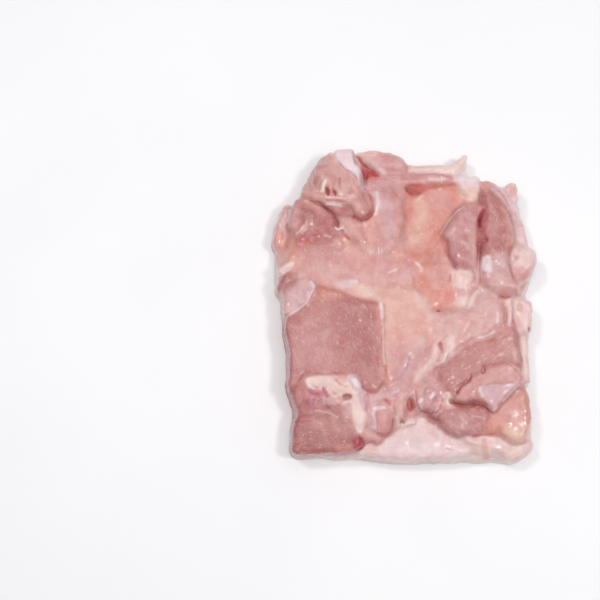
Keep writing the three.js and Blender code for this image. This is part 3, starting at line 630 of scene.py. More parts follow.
# Streaks over the patches
STROKES = (
    # Far left lobes
    Stroke("fat", ((-45.6, 66.6), (-46.4, 63.6), (-47.4, 60.8)), 0.8, 0.9),
    # Painted shade in the holes and grooves between the tan strips
    Stroke("deep", ((-44.9, 62), (-44, 59)), 0.9, 0.9, -0.3),
    Stroke("deep", ((-41, 60.4), (-40.2, 58.4)), 0.8, 0.9, -0.3),
    Stroke("deep", ((-38.4, 67.8), (-38.6, 64.8)), 0.8, 0.5, -0.4),
    Stroke("wine", ((-34, 72), (-33.4, 66)), 0.5, 0.3, -0.3),
    # Painted highlights along the wet ridges of the strip fold
    Stroke("fat", ((-45, 57.4), (-40, 57.3), (-34.6, 56.9)), 0.6, 0.7, 0.1),
    Stroke("membrane", ((-44.6, 53.9), (-41, 53.4), (-37.6, 53)), 1.0, 0.85, 0.1),
    Stroke("wine", ((-45, 55.7), (-40, 55.4), (-35, 55)), 0.5, 0.4, -0.3),
    Stroke("fat", ((-38.4, 59.4), (-36.8, 58.6)), 0.9, 0.7),
    # Painted shade in the cleft under the strip fold, round the round lobe and under it
    Stroke("deep", ((-53.4, 55.2), (-49.6, 53.4), (-45.4, 51.4), (-41.6, 47.4), (-39.4, 43.4),
                    (-39, 41.8)), 0.7, 0.75, -0.2),
    Stroke("deep", ((-24.6, 62), (-22.2, 57.6), (-21, 52), (-21.8, 48.2), (-24, 45.8),
                    (-26.6, 44.6)), 0.7, 0.7, -0.2),
    Stroke("ember", ((-30, 47), (-27, 45.8), (-24.2, 46.8), (-22, 49.4)), 1.0, 0.6),
    Stroke("membrane", ((-25.6, 44.4), (-24.8, 42.2)), 0.8, 0.6, 0.1),
    Stroke("fat", ((-29.9, 81), (-28.6, 76), (-26.8, 70), (-26.1, 64)), 0.6, 0.8),
    # Painted shadow along the left edge of the membrane flap
    Stroke("wine", ((-38, 75.6), (-35, 72.6), (-31.4, 70), (-28, 66.4)), 0.5, 0.4, -0.3),
    # Left side and middle band
    # Painted shade in the cleft left of the light strip
    Stroke("deep", ((-37.4, 40.4), (-35.6, 37.4), (-33.4, 35.2)), 0.9, 0.8, -0.3),
    Stroke("orange", ((-36, 36.4), (-35.8, 31.6)), 0.5, 0.6),
    Stroke("membrane", ((-40.4, 41), (-38.8, 40), (-36.8, 40.8)), 0.55, 0.95, 0.1),
    # Painted highlights on the edge of the left strip, its ridge and a small lump
    Stroke("membrane", ((-64.2, 50), (-65, 44)), 0.8, 0.8),
    Stroke("skin", ((-57, 42), (-58.6, 39.6), (-60.6, 37.6)), 0.8, 0.7, 0.1),
    Stroke("skin", ((-46, 37), (-43, 36.2)), 0.8, 0.6, 0.1),
    Stroke("magenta", ((-69, 10.6), (-66.4, 9.2)), 1.2, 0.5),
    Stroke("membrane", ((-53, 12), (-51.4, 10)), 1.1, 0.8, 0.1),
    Stroke("membrane", ((-51.4, 8.6), (-53.4, 5), (-55.2, 1.4), (-58, -1), (-62, -3.6),
                        (-66, -6.6)), 0.6, 0.7, 0.15),
    Stroke("membrane", ((-32, 13), (-29.4, 12.4)), 1.1, 0.6, 0.1),
    Stroke("salmon", ((-6, 25), (0, 27.8), (6, 28.4)), 1.8, 0.8, -0.2),
    Stroke("pink", ((-14, 14), (-6, 20), (-2, 25)), 1.5, 0.5, 0.1),
    Stroke("film", ((-16, 24), (-12, 30), (-9, 36)), 1.2, 0.5, 0.1),
    Stroke("membrane", ((-13, 17.4), (-9, 19)), 0.8, 0.6, 0.1),
    Stroke("film", ((-12, 13), (-6, 16), (2, 22)), 1.2, 0.5, 0.1),
    Stroke("fat", ((1.4, 23), (3.6, 20.6), (4.2, 18.6)), 1.0, 0.7, 0.15),
    Stroke("lilac", ((-3, 16.6), (0, 17.4)), 1.3, 0.7, 0.1),
    Stroke("membrane", ((-17.8, 30.6), (-17.8, 27.4)), 0.45, 0.9, 0.1),
    Stroke("membrane", ((-16.4, 30), (-16.3, 28)), 0.35, 0.8, 0.1),
    # Square muscle and smooth pad
    Stroke("fat", ((-17, 1.4), (-16.4, -2), (-16.1, -6)), 1.3, 0.95, 0.15),
    Stroke("skin", ((-16.1, -6), (-15.9, -14), (-15.8, -24), (-15.4, -30)), 0.6, 0.8, 0.1),
    Stroke("deep", ((-14.4, -31), (-14, -36.6)), 0.6, 0.5, -0.3),
    Stroke("deep", ((-19.6, -26.6), (-18.4, -31.6)), 0.6, 0.4, -0.3),
    Stroke("magenta", ((13.2, -19.2), (13.9, -23.4)), 1.5, 0.95),
    Stroke("blood", ((13.3, -19.6), (13.8, -22)), 0.8, 0.7),
    Stroke("magenta", ((13.4, -24), (11.8, -28)), 0.9, 0.4),
    # Salmon hollow and wet red pad
    # Painted shade in the cleft beside the inner muscle
    Stroke("deep", ((17.4, 33), (16.7, 28.6), (18.6, 24.4), (21, 20.6)), 0.7, 0.7),
    Stroke("magenta", ((19.6, 22.6), (22.4, 19.4)), 0.9, 0.5),
    Stroke("deep", ((19, 16.4), (18.8, 13.4)), 0.7, 0.6),
    Stroke("blood", ((11.8, -2.5), (13.2, -2.2)), 0.7, 0.8),
    # Painted highlights on the far roll
    Stroke("fat", ((9, 67.8), (16.4, 67.4)), 1.3, 0.6),
    Stroke("membrane", ((15.2, 69), (15.4, 65.4)), 0.4, 0.6, 0.1),
    # Long muscles and the fat round them
    Stroke("skin", ((27, 53), (23.4, 50), (19.6, 46), (16.6, 41.6), (14.4, 38.4)), 0.5, 0.95,
           0.15),
    # Blood red and painted shade in the cleft between the long muscles
    Stroke("blood", ((36.6, 50.4), (35.6, 48), (34.8, 45.4), (34.6, 42.4)), 1.4, 0.95),
    Stroke("blood", ((34.4, 33.6), (34.2, 31), (34.6, 28.6)), 0.9, 0.7),
    Stroke("deep", ((34.4, 41), (34.2, 36), (34.2, 33)), 0.5, 0.8),
    Stroke("deep", ((38.4, 34.8), (36, 33.6)), 0.7, 0.6),
    Stroke("deep", ((34.2, 27), (34.3, 20), (34.4, 13)), 0.5, 0.5),
    Stroke("deep", ((35.8, 55), (36.2, 53.4)), 0.8, 0.4),
    Stroke("mauve", ((40.6, 65), (45, 61.4), (48.2, 57.4), (50.6, 52.6), (51.6, 48)), 0.6, 0.75,
           -0.3),
    # Painted highlight on the lilac lobe
    Stroke("membrane", ((38.4, 17.4), (38.7, 15.6)), 0.5, 0.8, 0.1),
    # Painted shadow under the lilac lobe
    Stroke("deep", ((45, 5.2), (47.4, 4.6), (49.6, 5.2)), 0.8, 0.8),
    Stroke("membrane", ((51.2, 24.6), (51.8, 25.6)), 0.6, 0.6),
    Stroke("wine", ((49.6, 22), (50.2, 18.6), (51.6, 15.4)), 0.7, 0.4),
    # Pale pad and near right muscles
    Stroke("deep", ((58.6, -11.2), (59, -12.8)), 0.8, 0.8),
    Stroke("mauve", ((46.9, -0.6), (47.2, -5), (46.3, -9.6)), 0.5, 0.8, -0.2),
    Stroke("magenta", ((51, -7), (51.8, -10), (53.4, -16)), 0.8, 0.5, -0.2),
    # Painted highlights on the pale pad
    Stroke("membrane", ((42.6, -3.4), (43, -5), (42.6, -8)), 0.8, 0.7, 0.1),
    Stroke("membrane", ((32.6, -16.2), (36.6, -15.3), (41, -13)), 0.6, 0.9, 0.15),
    # Painted shade in the clefts beside, above and under the flap, with some red of the flesh
    Stroke("deep", ((28.6, -35.4), (27, -38.4), (23.4, -40.8), (21.4, -44.6)), 0.6, 0.6, -0.2),
    Stroke("deep", ((35, -31.4), (34.6, -33.6)), 0.7, 0.5, -0.2),
    Stroke("deep", ((18, -49.4), (24, -50.7), (30, -50.8), (35, -51.5), (37.4, -53.6)), 0.6,
           0.95, -0.3),
    Stroke("blood", ((18, -49.4), (24, -50.7)), 0.5, 0.6),
    Stroke("skin", ((49, -29.6), (53, -32.2), (54.8, -35.4), (54.8, -39)), 0.5, 0.5, 0.1),
    Stroke("membrane", ((33.4, -41.6), (33, -43.6), (34.2, -46)), 0.9, 0.6, 0.1),
    Stroke("membrane", ((53, -40.2), (49, -44), (44.4, -48.2)), 0.5, 0.7, 0.15),
    Stroke("fat", ((37.4, -51.6), (39.4, -53), (41, -51.6)), 0.8, 0.7, 0.1),
    Stroke("ember", ((30, -66), (34, -65.4), (40, -64.8)), 0.7, 0.8),
    Stroke("mauve", ((27, -55), (32, -57), (35.4, -59.6)), 0.6, 0.5, -0.3),
    Stroke("skin", ((29, -56), (33, -56.6)), 0.6, 0.5, 0.1),
    Stroke("orange", ((34.4, -68.6), (34.8, -73), (35.2, -77.6)), 1.9, 0.5),
    Stroke("lilac", ((20.6, -63.4), (22.6, -66)), 1.2, 0.6, 0.1),
    Stroke("tan", ((15.6, -71.6), (18.6, -73.4)), 0.7, 0.6, -0.3),
    # Gristle, bruise and near left muscle
    Stroke("fat", ((-54, -41), (-50, -43.4), (-48, -43)), 1.1, 0.8, 0.1),
    Stroke("fat", ((-44, -43), (-41.4, -46.4), (-39, -46)), 1.1, 0.7, 0.1),
    Stroke("fat", ((-36, -50), (-33.6, -49), (-31, -52), (-31.6, -57)), 1.2, 0.6, 0.1),
    Stroke("pink", ((-40, -38), (-37, -41), (-34, -41.4)), 0.7, 0.7, -0.3),
    Stroke("wine", ((-28, -36), (-26.6, -42)), 0.9, 0.6, -0.3),
    Stroke("magenta", ((-54, -43.4), (-50, -43.6), (-46.6, -44.6)), 0.7, 0.8),
    Stroke("blood", ((-46.4, -43), (-44.4, -46.8)), 0.9, 0.6),
    Stroke("magenta", ((-52, -50.6), (-50.6, -47)), 0.8, 0.7),
    Stroke("magenta", ((-58, -56), (-56.6, -57.6)), 1, 0.5),
    Stroke("magenta", ((-40.4, -59.6), (-37.4, -62.4), (-34, -65.4)), 0.6, 0.6),
    Stroke("skin", ((-50, -53.6), (-44, -54.8), (-39, -57)), 0.6, 0.5, 0.1),
    Stroke("deep", ((-40.6, -52), (-38.4, -55)), 0.8, 0.5, -0.2),
    Stroke("deep", ((-38, -74.4), (-32, -73.6), (-28.6, -72)), 0.7, 0.7),
    Stroke("magenta", ((-29, -72.2), (-26, -71)), 0.7, 0.8),
    # Small lobes in the middle of the near side
    Stroke("magenta", ((-24.6, -44), (-24.2, -50), (-24.6, -54)), 0.9, 0.5, -0.2),
    # Painted highlights on the top and left of the near left lobe
    Stroke("membrane", ((-20.4, -52.6), (-18, -52.2), (-15.6, -52.2)), 1.2, 0.9, 0.1),
    Stroke("membrane", ((-21.4, -55), (-20.4, -58.6), (-20.2, -62.4)), 1.1, 0.65, 0.1),
    # Painted shade along the near left lobe's right side
    Stroke("deep", ((-11, -58), (-11.4, -62), (-13.6, -65)), 0.8, 0.5, -0.2),
    Stroke("deep", ((-24.4, -69.8), (-20, -68.6)), 0.5, 0.5),
    # Painted highlights on the shiny lobe and the pink bits
    Stroke("membrane", ((8, -46.6), (9.2, -45.2)), 1.5, 0.9, 0.1),
    Stroke("membrane", ((2.6, -49), (3.2, -48)), 1.1, 0.8, 0.1),
    Stroke("membrane", ((10.6, -53.6), (11.6, -52.6)), 0.8, 0.6, 0.1),
    Stroke("membrane", ((13, -49.4), (14, -48.4)), 0.7, 0.6, 0.1),
    # Painted shade in the hole below the brown lump
    Stroke("deep", ((-7.2, -59), (-5.8, -59.6)), 0.8, 0.7),
    Stroke("wine", ((0.6, -43.6), (0.8, -50), (3.4, -54), (8, -55), (12.4, -52.6), (14, -48)), 0.6,
           0.6, -0.4),
    Stroke("wine", ((-10.4, -49), (-10.8, -52), (-9.6, -56)), 0.5, 0.4, -0.2),
    Stroke("lilac", ((4.6, -43.4), (10, -43.6), (12, -47)), 0.9, 0.6, 0.1),
    Stroke("skin", ((-1, -44), (-3.4, -46.4), (-5, -50)), 0.8, 0.5, 0.1),
    Stroke("wine", ((14.6, -54.4), (11.4, -57), (12.4, -60)), 0.6, 0.5, -0.3),
)

TISSUES = ("rose", "wine", "brown", "mauve", "pink", "tan", "peach", "salmon", "orange",
           "ember", "fascia", "film", "lilac", "membrane", "fat", "butter", "skin", "deep",
           "blood", "magenta")
MUSCLE = {"rose": 1.0, "wine": 1.0, "brown": 1.0, "mauve": 0.6, "pink": 0.45, "tan": 0.4,
          "peach": 0.15, "ember": 0.3}
SHEET = {"film": 1.0, "lilac": 0.8, "membrane": 0.8, "mauve": 0.4, "salmon": 0.5,
         "skin": 0.5, "pink": 0.4, "peach": 0.6, "tan": 0.3}


def on_meat(points, heights):
    """Where points lie that the camera sees at the given places, if their heights are known."""
    reach = (CAMERA_PLACE[2] - heights) / (CAMERA_PLACE[2] - LEVEL)
    foot = np.array(CAMERA_PLACE[:2])
    return foot + (points - foot) * np.reshape(reach, (-1, 1))


def as_seen(corners):
    """Where the camera sees corners against the level of the tables."""
    reach = (CAMERA_PLACE[2] - LEVEL) / (CAMERA_PLACE[2] - corners[:, 2])
    foot = np.array(CAMERA_PLACE[:2])
    return foot + (corners[:, :2] - foot) * reach[:, None]


def outline_of(shape):
    """Closed smooth outline of a cushion, where it lies."""
    outline = np.array(shape.outline, float)
    edge_height = shape.top - OUTLINE_DROP * shape.edge
    return smooth_chain(on_meat(outline, np.full(len(outline), edge_height)), True)


def line_of(shape):
    """Smooth line through a strand or cleft, where it lies, with its heights and widths."""
    line = np.array([(*point, 1.0)[:4] for point in shape.line], float)
    line[:, :2] = on_meat(line[:, :2], line[:, 2])
    return smooth_chain(line, False)


def smooth_chain(points, closed, steps=8):
    """Points of a Catmull-Rom curve through the given ones."""
    points = np.array(points, float)
    count = len(points)
    if closed:
        padded = np.concatenate([points[-1:], points, points[:2]])
        spans = count
    else:
        first, last = 2 * points[0] - points[1], 2 * points[-1] - points[-2]
        padded = np.concatenate([first[None], points, last[None]])
        spans = count - 1
    t = np.linspace(0, 1, steps, endpoint=False)[:, None]
    chain = []
    for i in range(spans):
        a, b, c, d = padded[i:i + 4]
        chain.append(0.5 * (2 * b + (c - a) * t + (2 * a - 5 * b + 4 * c - d) * t ** 2
                            + (3 * b - a - 3 * c + d) * t ** 3))
    chain.append(padded[spans + 1][None])
    return np.concatenate(chain)


def nearest_on(chain, x, y):
    """Distance from (x, y) to a chain of points, and the chain's other columns there."""
    best = np.full(x.shape, np.inf)
    values = [np.full(x.shape, column) for column in chain[0][2:]]
    along = np.zeros(x.shape)
    travelled = 0.0
    for a, b in zip(chain[:-1], chain[1:]):
        run = b - a
        length = math.hypot(run[0], run[1])
        if length < 1e-9:
            continue
        t = ((x - a[0]) * run[0] + (y - a[1]) * run[1]) / length ** 2
        t = np.clip(t, 0, 1)
        distance = np.hypot(x - a[0] - t * run[0], y - a[1] - t * run[1])
        closer = distance < best
        best = np.where(closer, distance, best)
        along = np.where(closer, travelled + t * length, along)
        for k in range(len(values)):
            values[k] = np.where(closer, a[2 + k] + t * run[2 + k], values[k])
        travelled += length
    return best, values, along


def depth_inside(chain, x, y):
    """How far (x, y) lies inside a closed chain of points; negative outside."""
    inside = np.zeros(x.shape, bool)
    for a, b in zip(chain[:-1], chain[1:]):
        if a[1] == b[1]:
            continue
        spans = (a[1] > y) != (b[1] > y)
        inside ^= spans & (x < a[0] + (b[0] - a[0]) * (y - a[1]) / (b[1] - a[1]))
    distance = nearest_on(chain, x, y)[0]
    return np.where(inside, distance, -distance)


def smooth_step(value, low, high):
    """Rises smoothly from 0 at `low` to 1 at `high`."""
    t = np.clip((value - low) / (high - low), 0, 1)
    return t * t * (3 - 2 * t)


def noise(points, size, seed):
    """Smooth noise from -1 to 1 whose lumps measure about `size`."""
    cells = np.array(points, float) / size + 1000.0
    base = np.floor(cells).astype(np.int64)
    part = cells - base
    part = part * part * (3 - 2 * part)
    total = np.zeros(cells.shape[:-1])
    axes = cells.shape[-1]
    for corner in range(2 ** axes):
        steps = np.array([(corner >> k) & 1 for k in range(axes)])
        weight = np.prod(np.where(steps, part, 1 - part), axis=-1)
        total += weight * lattice_value(base + steps, seed)
    return total


def lattice_value(cell, seed):
    """A fixed random value from -1 to 1 for each cell of a lattice."""
    mixed = np.full(cell.shape[:-1], seed * 7919 + 17, np.int64)
    for k in range(cell.shape[-1]):
        mixed = (mixed ^ (cell[..., k] * (73856093, 19349663, 83492791)[k])) & 0x7FFFFFFF
        mixed = (mixed * 1103515245 + 12345) & 0x7FFFFFFF
        mixed ^= mixed >> 13
    return (mixed & 0xFFFF) / 32767.5 - 1.0


def bed_top(x, y):
    """Height of the flesh between the muscles."""
    top = np.full(x.shape, BED_HEIGHT)
    for outline, height, slope in SWELLINGS:
        depth = depth_inside(smooth_chain(outline, True), x, y)
        top += (height - top) * smooth_step(depth, -slope / 2, slope / 2)
    return top


def rounded_slab(depth, edge, low, high, z):
    """Distance outside a slab whose edge is round: depth is how far inside its outline."""
    outwards = np.maximum(0, (edge - depth) / edge)
    middle, half = (low + high) / 2, np.maximum((high - low) / 2, THINNEST_SLAB)
    level = np.abs(z - middle) / half
    ring = (outwards ** SLAB_POWER + level ** SLAB_POWER) ** (1 / SLAB_POWER)
    return (ring - 1) * np.minimum(edge, half)


def cushion_distance(shape, x, y, z):
    """Distance outside a cushion; less than zero inside it."""
    outline = outline_of(shape)
    depth = depth_inside(outline, x, y)
    middle = outline.mean(0)
    top = shape.top + shape.slope[0] * (x - middle[0]) + shape.slope[1] * (y - middle[1])
    return rounded_slab(lift(depth, z), shape.edge, shape.foot, lift(top, z), z)


def strand_distance(shape, x, y, z):
    """Distance outside a strand; less than zero inside it."""
    distance, (top, share), _ = nearest_on(line_of(shape), x, y)
    middle = top - shape.height
    ring = np.sqrt((lift(distance / share, z) / shape.width) ** 2
                   + ((z - lift(middle, z)) / shape.height) ** 2)
    return (ring - 1) * min(shape.width, shape.height)


def cleft_distance(shape, x, y, z):
    """Distance outside the gap: a thin blade that stands on the cleft's floor."""
    distance, (floor, _), _ = nearest_on(line_of(shape), x, y)
    below = np.maximum(0, lift(floor, z) - z)
    flare = 1 + np.maximum(0, z - lift(floor, z)) * CLEFT_FLARE
    return (np.sqrt(lift(distance, z) ** 2 + below ** 2) - shape.width * flare) * CLEFT_PACE


def lift(flat, z):
    """A value of each (x, y) made ready to combine with a column of heights."""
    return flat[..., None] if z.ndim > flat.ndim else flat


def skin_distance(x, y, z):
    """Distance outside the bed of skin and flesh that the lobes lie on."""
    depth = depth_inside(smooth_chain(SKIN, True), x, y)
    top = bed_top(x, y)
    return rounded_slab(lift(depth, z), SKIN_EDGE, SKIN_FOOT, lift(top, z), z)


def reach_of(shape):
    """Lowest and highest x and y that a shape may touch."""
    points = outline_of(shape) if isinstance(shape, Cushion) else line_of(shape)
    room = CUSHION_ROOM if isinstance(shape, Cushion) else shape.width + STRAND_ROOM
    return points[:, :2].min(0) - room, points[:, :2].max(0) + room


def soft_union(a, b, blend):
    """Distance outside two joined shapes, rounded where they meet."""
    share = np.clip(0.5 + 0.5 * (a - b) / blend, 0, 1)
    return a * (1 - share) + b * share - blend * share * (1 - share)


DISTANCE = {Cushion: cushion_distance, Strand: strand_distance, Cleft: cleft_distance}


def wandered(x, y):
    """Places shifted a little by noise, so that no outline is quite smooth."""
    flat = np.stack([x, y], -1)
    east = 0.5 * noise(flat, 13, 1) + 0.4 * noise(flat, 5, 2) + 0.3 * noise(flat, 2.2, 5)
    north = 0.5 * noise(flat, 13, 3) + 0.4 * noise(flat, 5, 4) + 0.3 * noise(flat, 2.2, 6)
    return x + east, y + north


def spread(heights, pick, steps):
    """Takes the highest or lowest of the neighbours, some steps wide, in round rather than
    square reach."""
    for step in range(steps):
        sides = [np.roll(heights, way, axis) for axis in (0, 1) for way in (-1, 1)]
        if step % 2:
            sides += [np.roll(sides[k], way, 1) for k in (0, 1) for way in (-1, 1)]
        for side in sides:
            heights = pick(heights, side)
    return heights


def blurred(heights, passes):
    """Heights softened with their neighbours, once for each pass."""
    for _ in range(passes):
        for axis in (0, 1):
            around = np.roll(heights, 1, axis) + np.roll(heights, -1, axis)
            heights = 0.5 * heights + 0.25 * around
    return heights


def grooves_filled(field, zs, cell):
    """Fills the gaps between lobes that lie close together, to a little below their tops."""
    inside = field < 0
    top = np.where(inside.any(2), zs[len(zs) - 1 - np.argmax(inside[:, :, ::-1], axis=2)], 0.0)
    steps = int(FILL_REACH / cell)
    closed = spread(spread(top, np.maximum, steps), np.minimum, steps)
    fill = blurred(closed, int(FILL_BLUR / cell)) - FILL_DEPTH
    above = zs[None, None, :] - fill[:, :, None]
    return soft_union(field, FILL_PACE * above, FILL_BLEND)


def sculpt(cell):
    """The field of distances outside the flesh, with the axes that it is sampled on."""
    xs = np.arange(*BLOCK_X, cell)
    ys = np.arange(*BLOCK_Y, cell)
    zs = np.arange(-2 * cell - 0.01, BLOCK_TOP, cell)
    x, y = wandered(*np.meshgrid(xs, ys, indexing="ij"))
    field = skin_distance(x, y, zs[None, None, :]).astype(np.float32)
    for shape in (*CUSHIONS, *STRANDS):
        block = block_of(shape, xs, ys)
        there = DISTANCE[type(shape)](shape, x[block], y[block], zs[None, None, :])
        field[block] = soft_union(field[block], there, shape.blend)
    field = grooves_filled(field, zs, cell)
    for shape in CLEFTS:
        block = block_of(shape, xs, ys)
        gap = cleft_distance(shape, x[block], y[block], zs[None, None, :])
        field[block] = -soft_union(-field[block], gap, CLEFT_BLEND)
    field = np.maximum(field, -zs[None, None, :])
    return field, (xs, ys, zs)


def block_of(shape, xs, ys):
    """The part of the grid that a shape may touch."""
    low, high = reach_of(shape)
    return (slice(*np.searchsorted(xs, (low[0], high[0]))),
            slice(*np.searchsorted(ys, (low[1], high[1]))))


def surface_of(field, axes, cell):
    """Corners and four-sided faces of the surface where the field is zero. Each face crosses
    a line of the grid, and its corners lie in the four cells round that line."""
    inside = field < 0
    shape = np.array(field.shape)
    total = int(np.prod(shape))
    stride = np.array([shape[1] * shape[2], shape[2], 1])
    sums = np.zeros((3, total))
    hits = np.zeros(total)
    quads = []
    for axis in range(3):
        near = [slice(None)] * 3
        far = [slice(None)] * 3
        near[axis], far[axis] = slice(None, -1), slice(1, None)
        crossing = np.argwhere(inside[tuple(near)] != inside[tuple(far)])
        step = np.zeros(3, int)
        step[axis] = 1
        start = field[tuple(crossing.T)]
        end = field[tuple((crossing + step).T)]
        place = crossing.astype(float)
        place[:, axis] += start / (start - end)
        u, v = (axis + 1) % 3, (axis + 2) % 3
        ring = []
        for du, dv in ((-1, -1), (0, -1), (0, 0), (-1, 0)):
            cells = crossing.copy()
            cells[:, u] += du
            cells[:, v] += dv
            index = cells @ stride
            ring.append(index)
            hits += np.bincount(index, minlength=total)
            for k in range(3):
                sums[k] += np.bincount(index, weights=place[:, k], minlength=total)
        ring = np.stack(ring, -1)
        ring[start > 0] = ring[start > 0][:, ::-1]
        quads.append(ring)
    used = np.flatnonzero(hits)
    corners = (sums[:, used] / hits[used]).T * cell + np.array([a[0] for a in axes])
    order = np.full(total, -1)
    order[used] = np.arange(len(used))
    return corners, order[np.concatenate(quads)]


def edges_of(quads):
    """Each edge of the faces once, as a pair of corners."""
    sides = np.concatenate([quads[:, [k, (k + 1) % 4]] for k in range(4)])
    return sides[sides[:, 0] < sides[:, 1]]


def relaxed(corners, edges, passes, share):
    """Corners moved towards the mean of their neighbours by a share, in several passes."""
    count = len(corners)
    ends = np.concatenate([edges[:, 0], edges[:, 1]])
    others = np.concatenate([edges[:, 1], edges[:, 0]])
    neighbours = np.bincount(ends, minlength=count)
    for _ in range(passes):
        mean = np.stack([np.bincount(ends, corners[others, k], count) for k in range(3)], -1)
        corners = corners + share * (mean / neighbours[:, None] - corners)
    return corners


def normals_of(corners, quads):
    """Direction in which the surface faces at each corner."""
    across = corners[quads[:, 2]] - corners[quads[:, 0]]
    along = corners[quads[:, 3]] - corners[quads[:, 1]]
    face = np.cross(across, along)
    total = np.zeros_like(corners)
    for k in range(4):
        for axis in range(3):
            total[:, axis] += np.bincount(quads[:, k], face[:, axis], len(corners))
    return total / np.maximum(np.linalg.norm(total, axis=1), 1e-12)[:, None]


def fibre_places(shape, x, y):
    """Millimetres across and along the fibres of a shape."""
    if isinstance(shape, Strand):
        chain = line_of(shape)
        distance, _, along = nearest_on(chain, x, y)
        way = chain[-1][:2] - chain[0][:2]
        side = np.sign(way[0] * (y - chain[0][1]) - way[1] * (x - chain[0][0]))
        return distance * side, along
    angle = math.radians(shape.grain)
    return (y * math.cos(angle) - x * math.sin(angle)), (x * math.cos(angle) + y * math.sin(angle))


class Paint:
    """Share of each tissue at each corner of the surface."""

    def __init__(self, count, first):
        self.shares = np.zeros((count, len(TISSUES)))
        self.shares[:, TISSUES.index(first)] = 1.0

    def lay(self, tissue, amount):
        """Covers the other tissues with one by the given amount."""
        self.shares *= 1 - amount[:, None]
        self.shares[:, TISSUES.index(tissue)] += amount

    def sum_of(self, weights):
        """Share of several tissues together, each weighted."""
        return sum(self.shares[:, TISSUES.index(name)] * part for name, part in weights.items())


def ragged_edge(seen):
    """Noise that breaks up the edges of patches and streaks."""
    return 0.8 * noise(seen, 4, 11) + 0.5 * noise(seen, 1.6, 12)


def near_chain(chain, seen, room):
    """The corners that lie in the box round a chain."""
    low, high = chain[:, :2].min(0) - room, chain[:, :2].max(0) + room
    return np.flatnonzero(((seen > low) & (seen < high)).all(1))


def patch_share(patch, seen, ragged):
    """How far a patch covers each corner, from 0 to 1."""
    chain = smooth_chain(patch.outline, True)
    near = near_chain(chain, seen, patch.fade + 2)
    depth = depth_inside(chain, seen[near, 0], seen[near, 1])
    depth = depth + ragged[near] * min(1.0, 0.3 + patch.fade / 5)
    share = np.zeros(len(seen))
    share[near] = smooth_step(depth, -patch.fade / 2, patch.fade / 2)
    return share


def stroke_share(stroke, seen, ragged):
    """How far a streak covers each corner, from 0 to 1."""
    chain = smooth_chain(stroke.line, False)
    near = near_chain(chain, seen, 2 * stroke.width)
    distance = nearest_on(chain, seen[near, 0], seen[near, 1])[0]
    distance = np.abs(distance + 0.3 * stroke.width * ragged[near])
    share = np.zeros(len(seen))
    share[near] = np.clip(1.2 * (1 - (distance / stroke.width) ** 2), 0, 1)
    return share


def painted(corners, normals):
    """Tissues of the lobes at each corner, and its place across and along their fibres."""
    count = len(corners)
    x, y = wandered(corners[:, 0], corners[:, 1])
    z = corners[:, 2]
    seen = as_seen(corners)
    ragged = ragged_edge(seen)
    paint = Paint(count, "peach")
    for patch in GROUND:
        paint.lay(patch.tissue, patch.strength * patch_share(patch, seen, ragged))
    depth = depth_inside(smooth_chain(SKIN, True), x, y)
    underneath = smooth_step(-normals[:, 2], *UNDERSIDE)
    paint.lay("skin", np.maximum(underneath, smooth_step(-depth, *RIM)))

    found = [(None, np.arange(count), skin_distance(x, y, z))]
    for shape in (*CUSHIONS, *STRANDS):
        low, high = reach_of(shape)
        near = np.flatnonzero((x > low[0]) & (x < high[0]) & (y > low[1]) & (y < high[1]))
        outside = DISTANCE[type(shape)](shape, x[near], y[near], z[near])
        found.append((shape, near, outside))
    closest = np.full(count, np.inf)
    for _, near, outside in found:
        closest[near] = np.minimum(closest[near], outside)
    lobes = np.zeros_like(paint.shares)
    total = np.zeros(count)
    fibres = np.stack([x, y], -1)
    for shape, near, outside in found:
        weight = np.exp(-np.minimum((outside - closest[near]) / TISSUE_BLEND, 40))
        total[near] += weight
        if shape is None:
            lobes[near] += weight[:, None] * paint.shares[near]
            continue
        lobes[near, TISSUES.index(shape.tissue)] += weight
        mine = near[outside - closest[near] < 1e-9]
        across, along = fibre_places(shape, x[mine], y[mine])
        fibres[mine, 0], fibres[mine, 1] = across, along
    paint.shares = lobes / total[:, None]
    return paint, fibres


def finished(paint, corners, normals):
    """Paints shade on steep walls of muscle, lays the patches and streaks over the lobes, among
    them painted shade and painted highlights, and returns how far they stand proud.
    """
    seen = as_seen(corners)
    ragged = ragged_edge(seen)
    up = smooth_step(normals[:, 2], *UPWARD)
    # Painted shade: steep walls of muscle are darkened with the dark muscle's tone
    steep = 1 - smooth_step(normals[:, 2], *STEEP)
    paint.lay("wine", STEEP_WALL_SHADE * steep * paint.sum_of(MUSCLE))
    proud = np.zeros(len(corners))
    for patch in PATCHES:
        share = up * patch_share(patch, seen, ragged)
        paint.lay(patch.tissue, patch.strength * share)
        proud += patch.relief * share
    for stroke in STROKES:
        share = up * stroke_share(stroke, seen, ragged)
        paint.lay(stroke.tissue, stroke.strength * share)
        proud += stroke.relief * share
    return proud


def hollowness(corners, edges, normals):
    """How deep each corner lies below the mean of the surface round it, in millimetres."""
    smooth = relaxed(corners, edges, *HOLLOW_SMOOTHING)
    return np.einsum("ij,ij->i", smooth - corners, normals)


def srgb(red, green, blue):
    """Colour in Blender's linear light from the usual 0 to 255."""
    return tuple(((v / 255 + 0.055) / 1.055) ** 2.4 for v in (red, green, blue))


def colour_property(name, description, *default):
    """A colour that can be set in the panel."""
    return bpy.props.FloatVectorProperty(
        name=name, description=description, subtype="COLOR", min=0, max=1,
        default=srgb(*default))


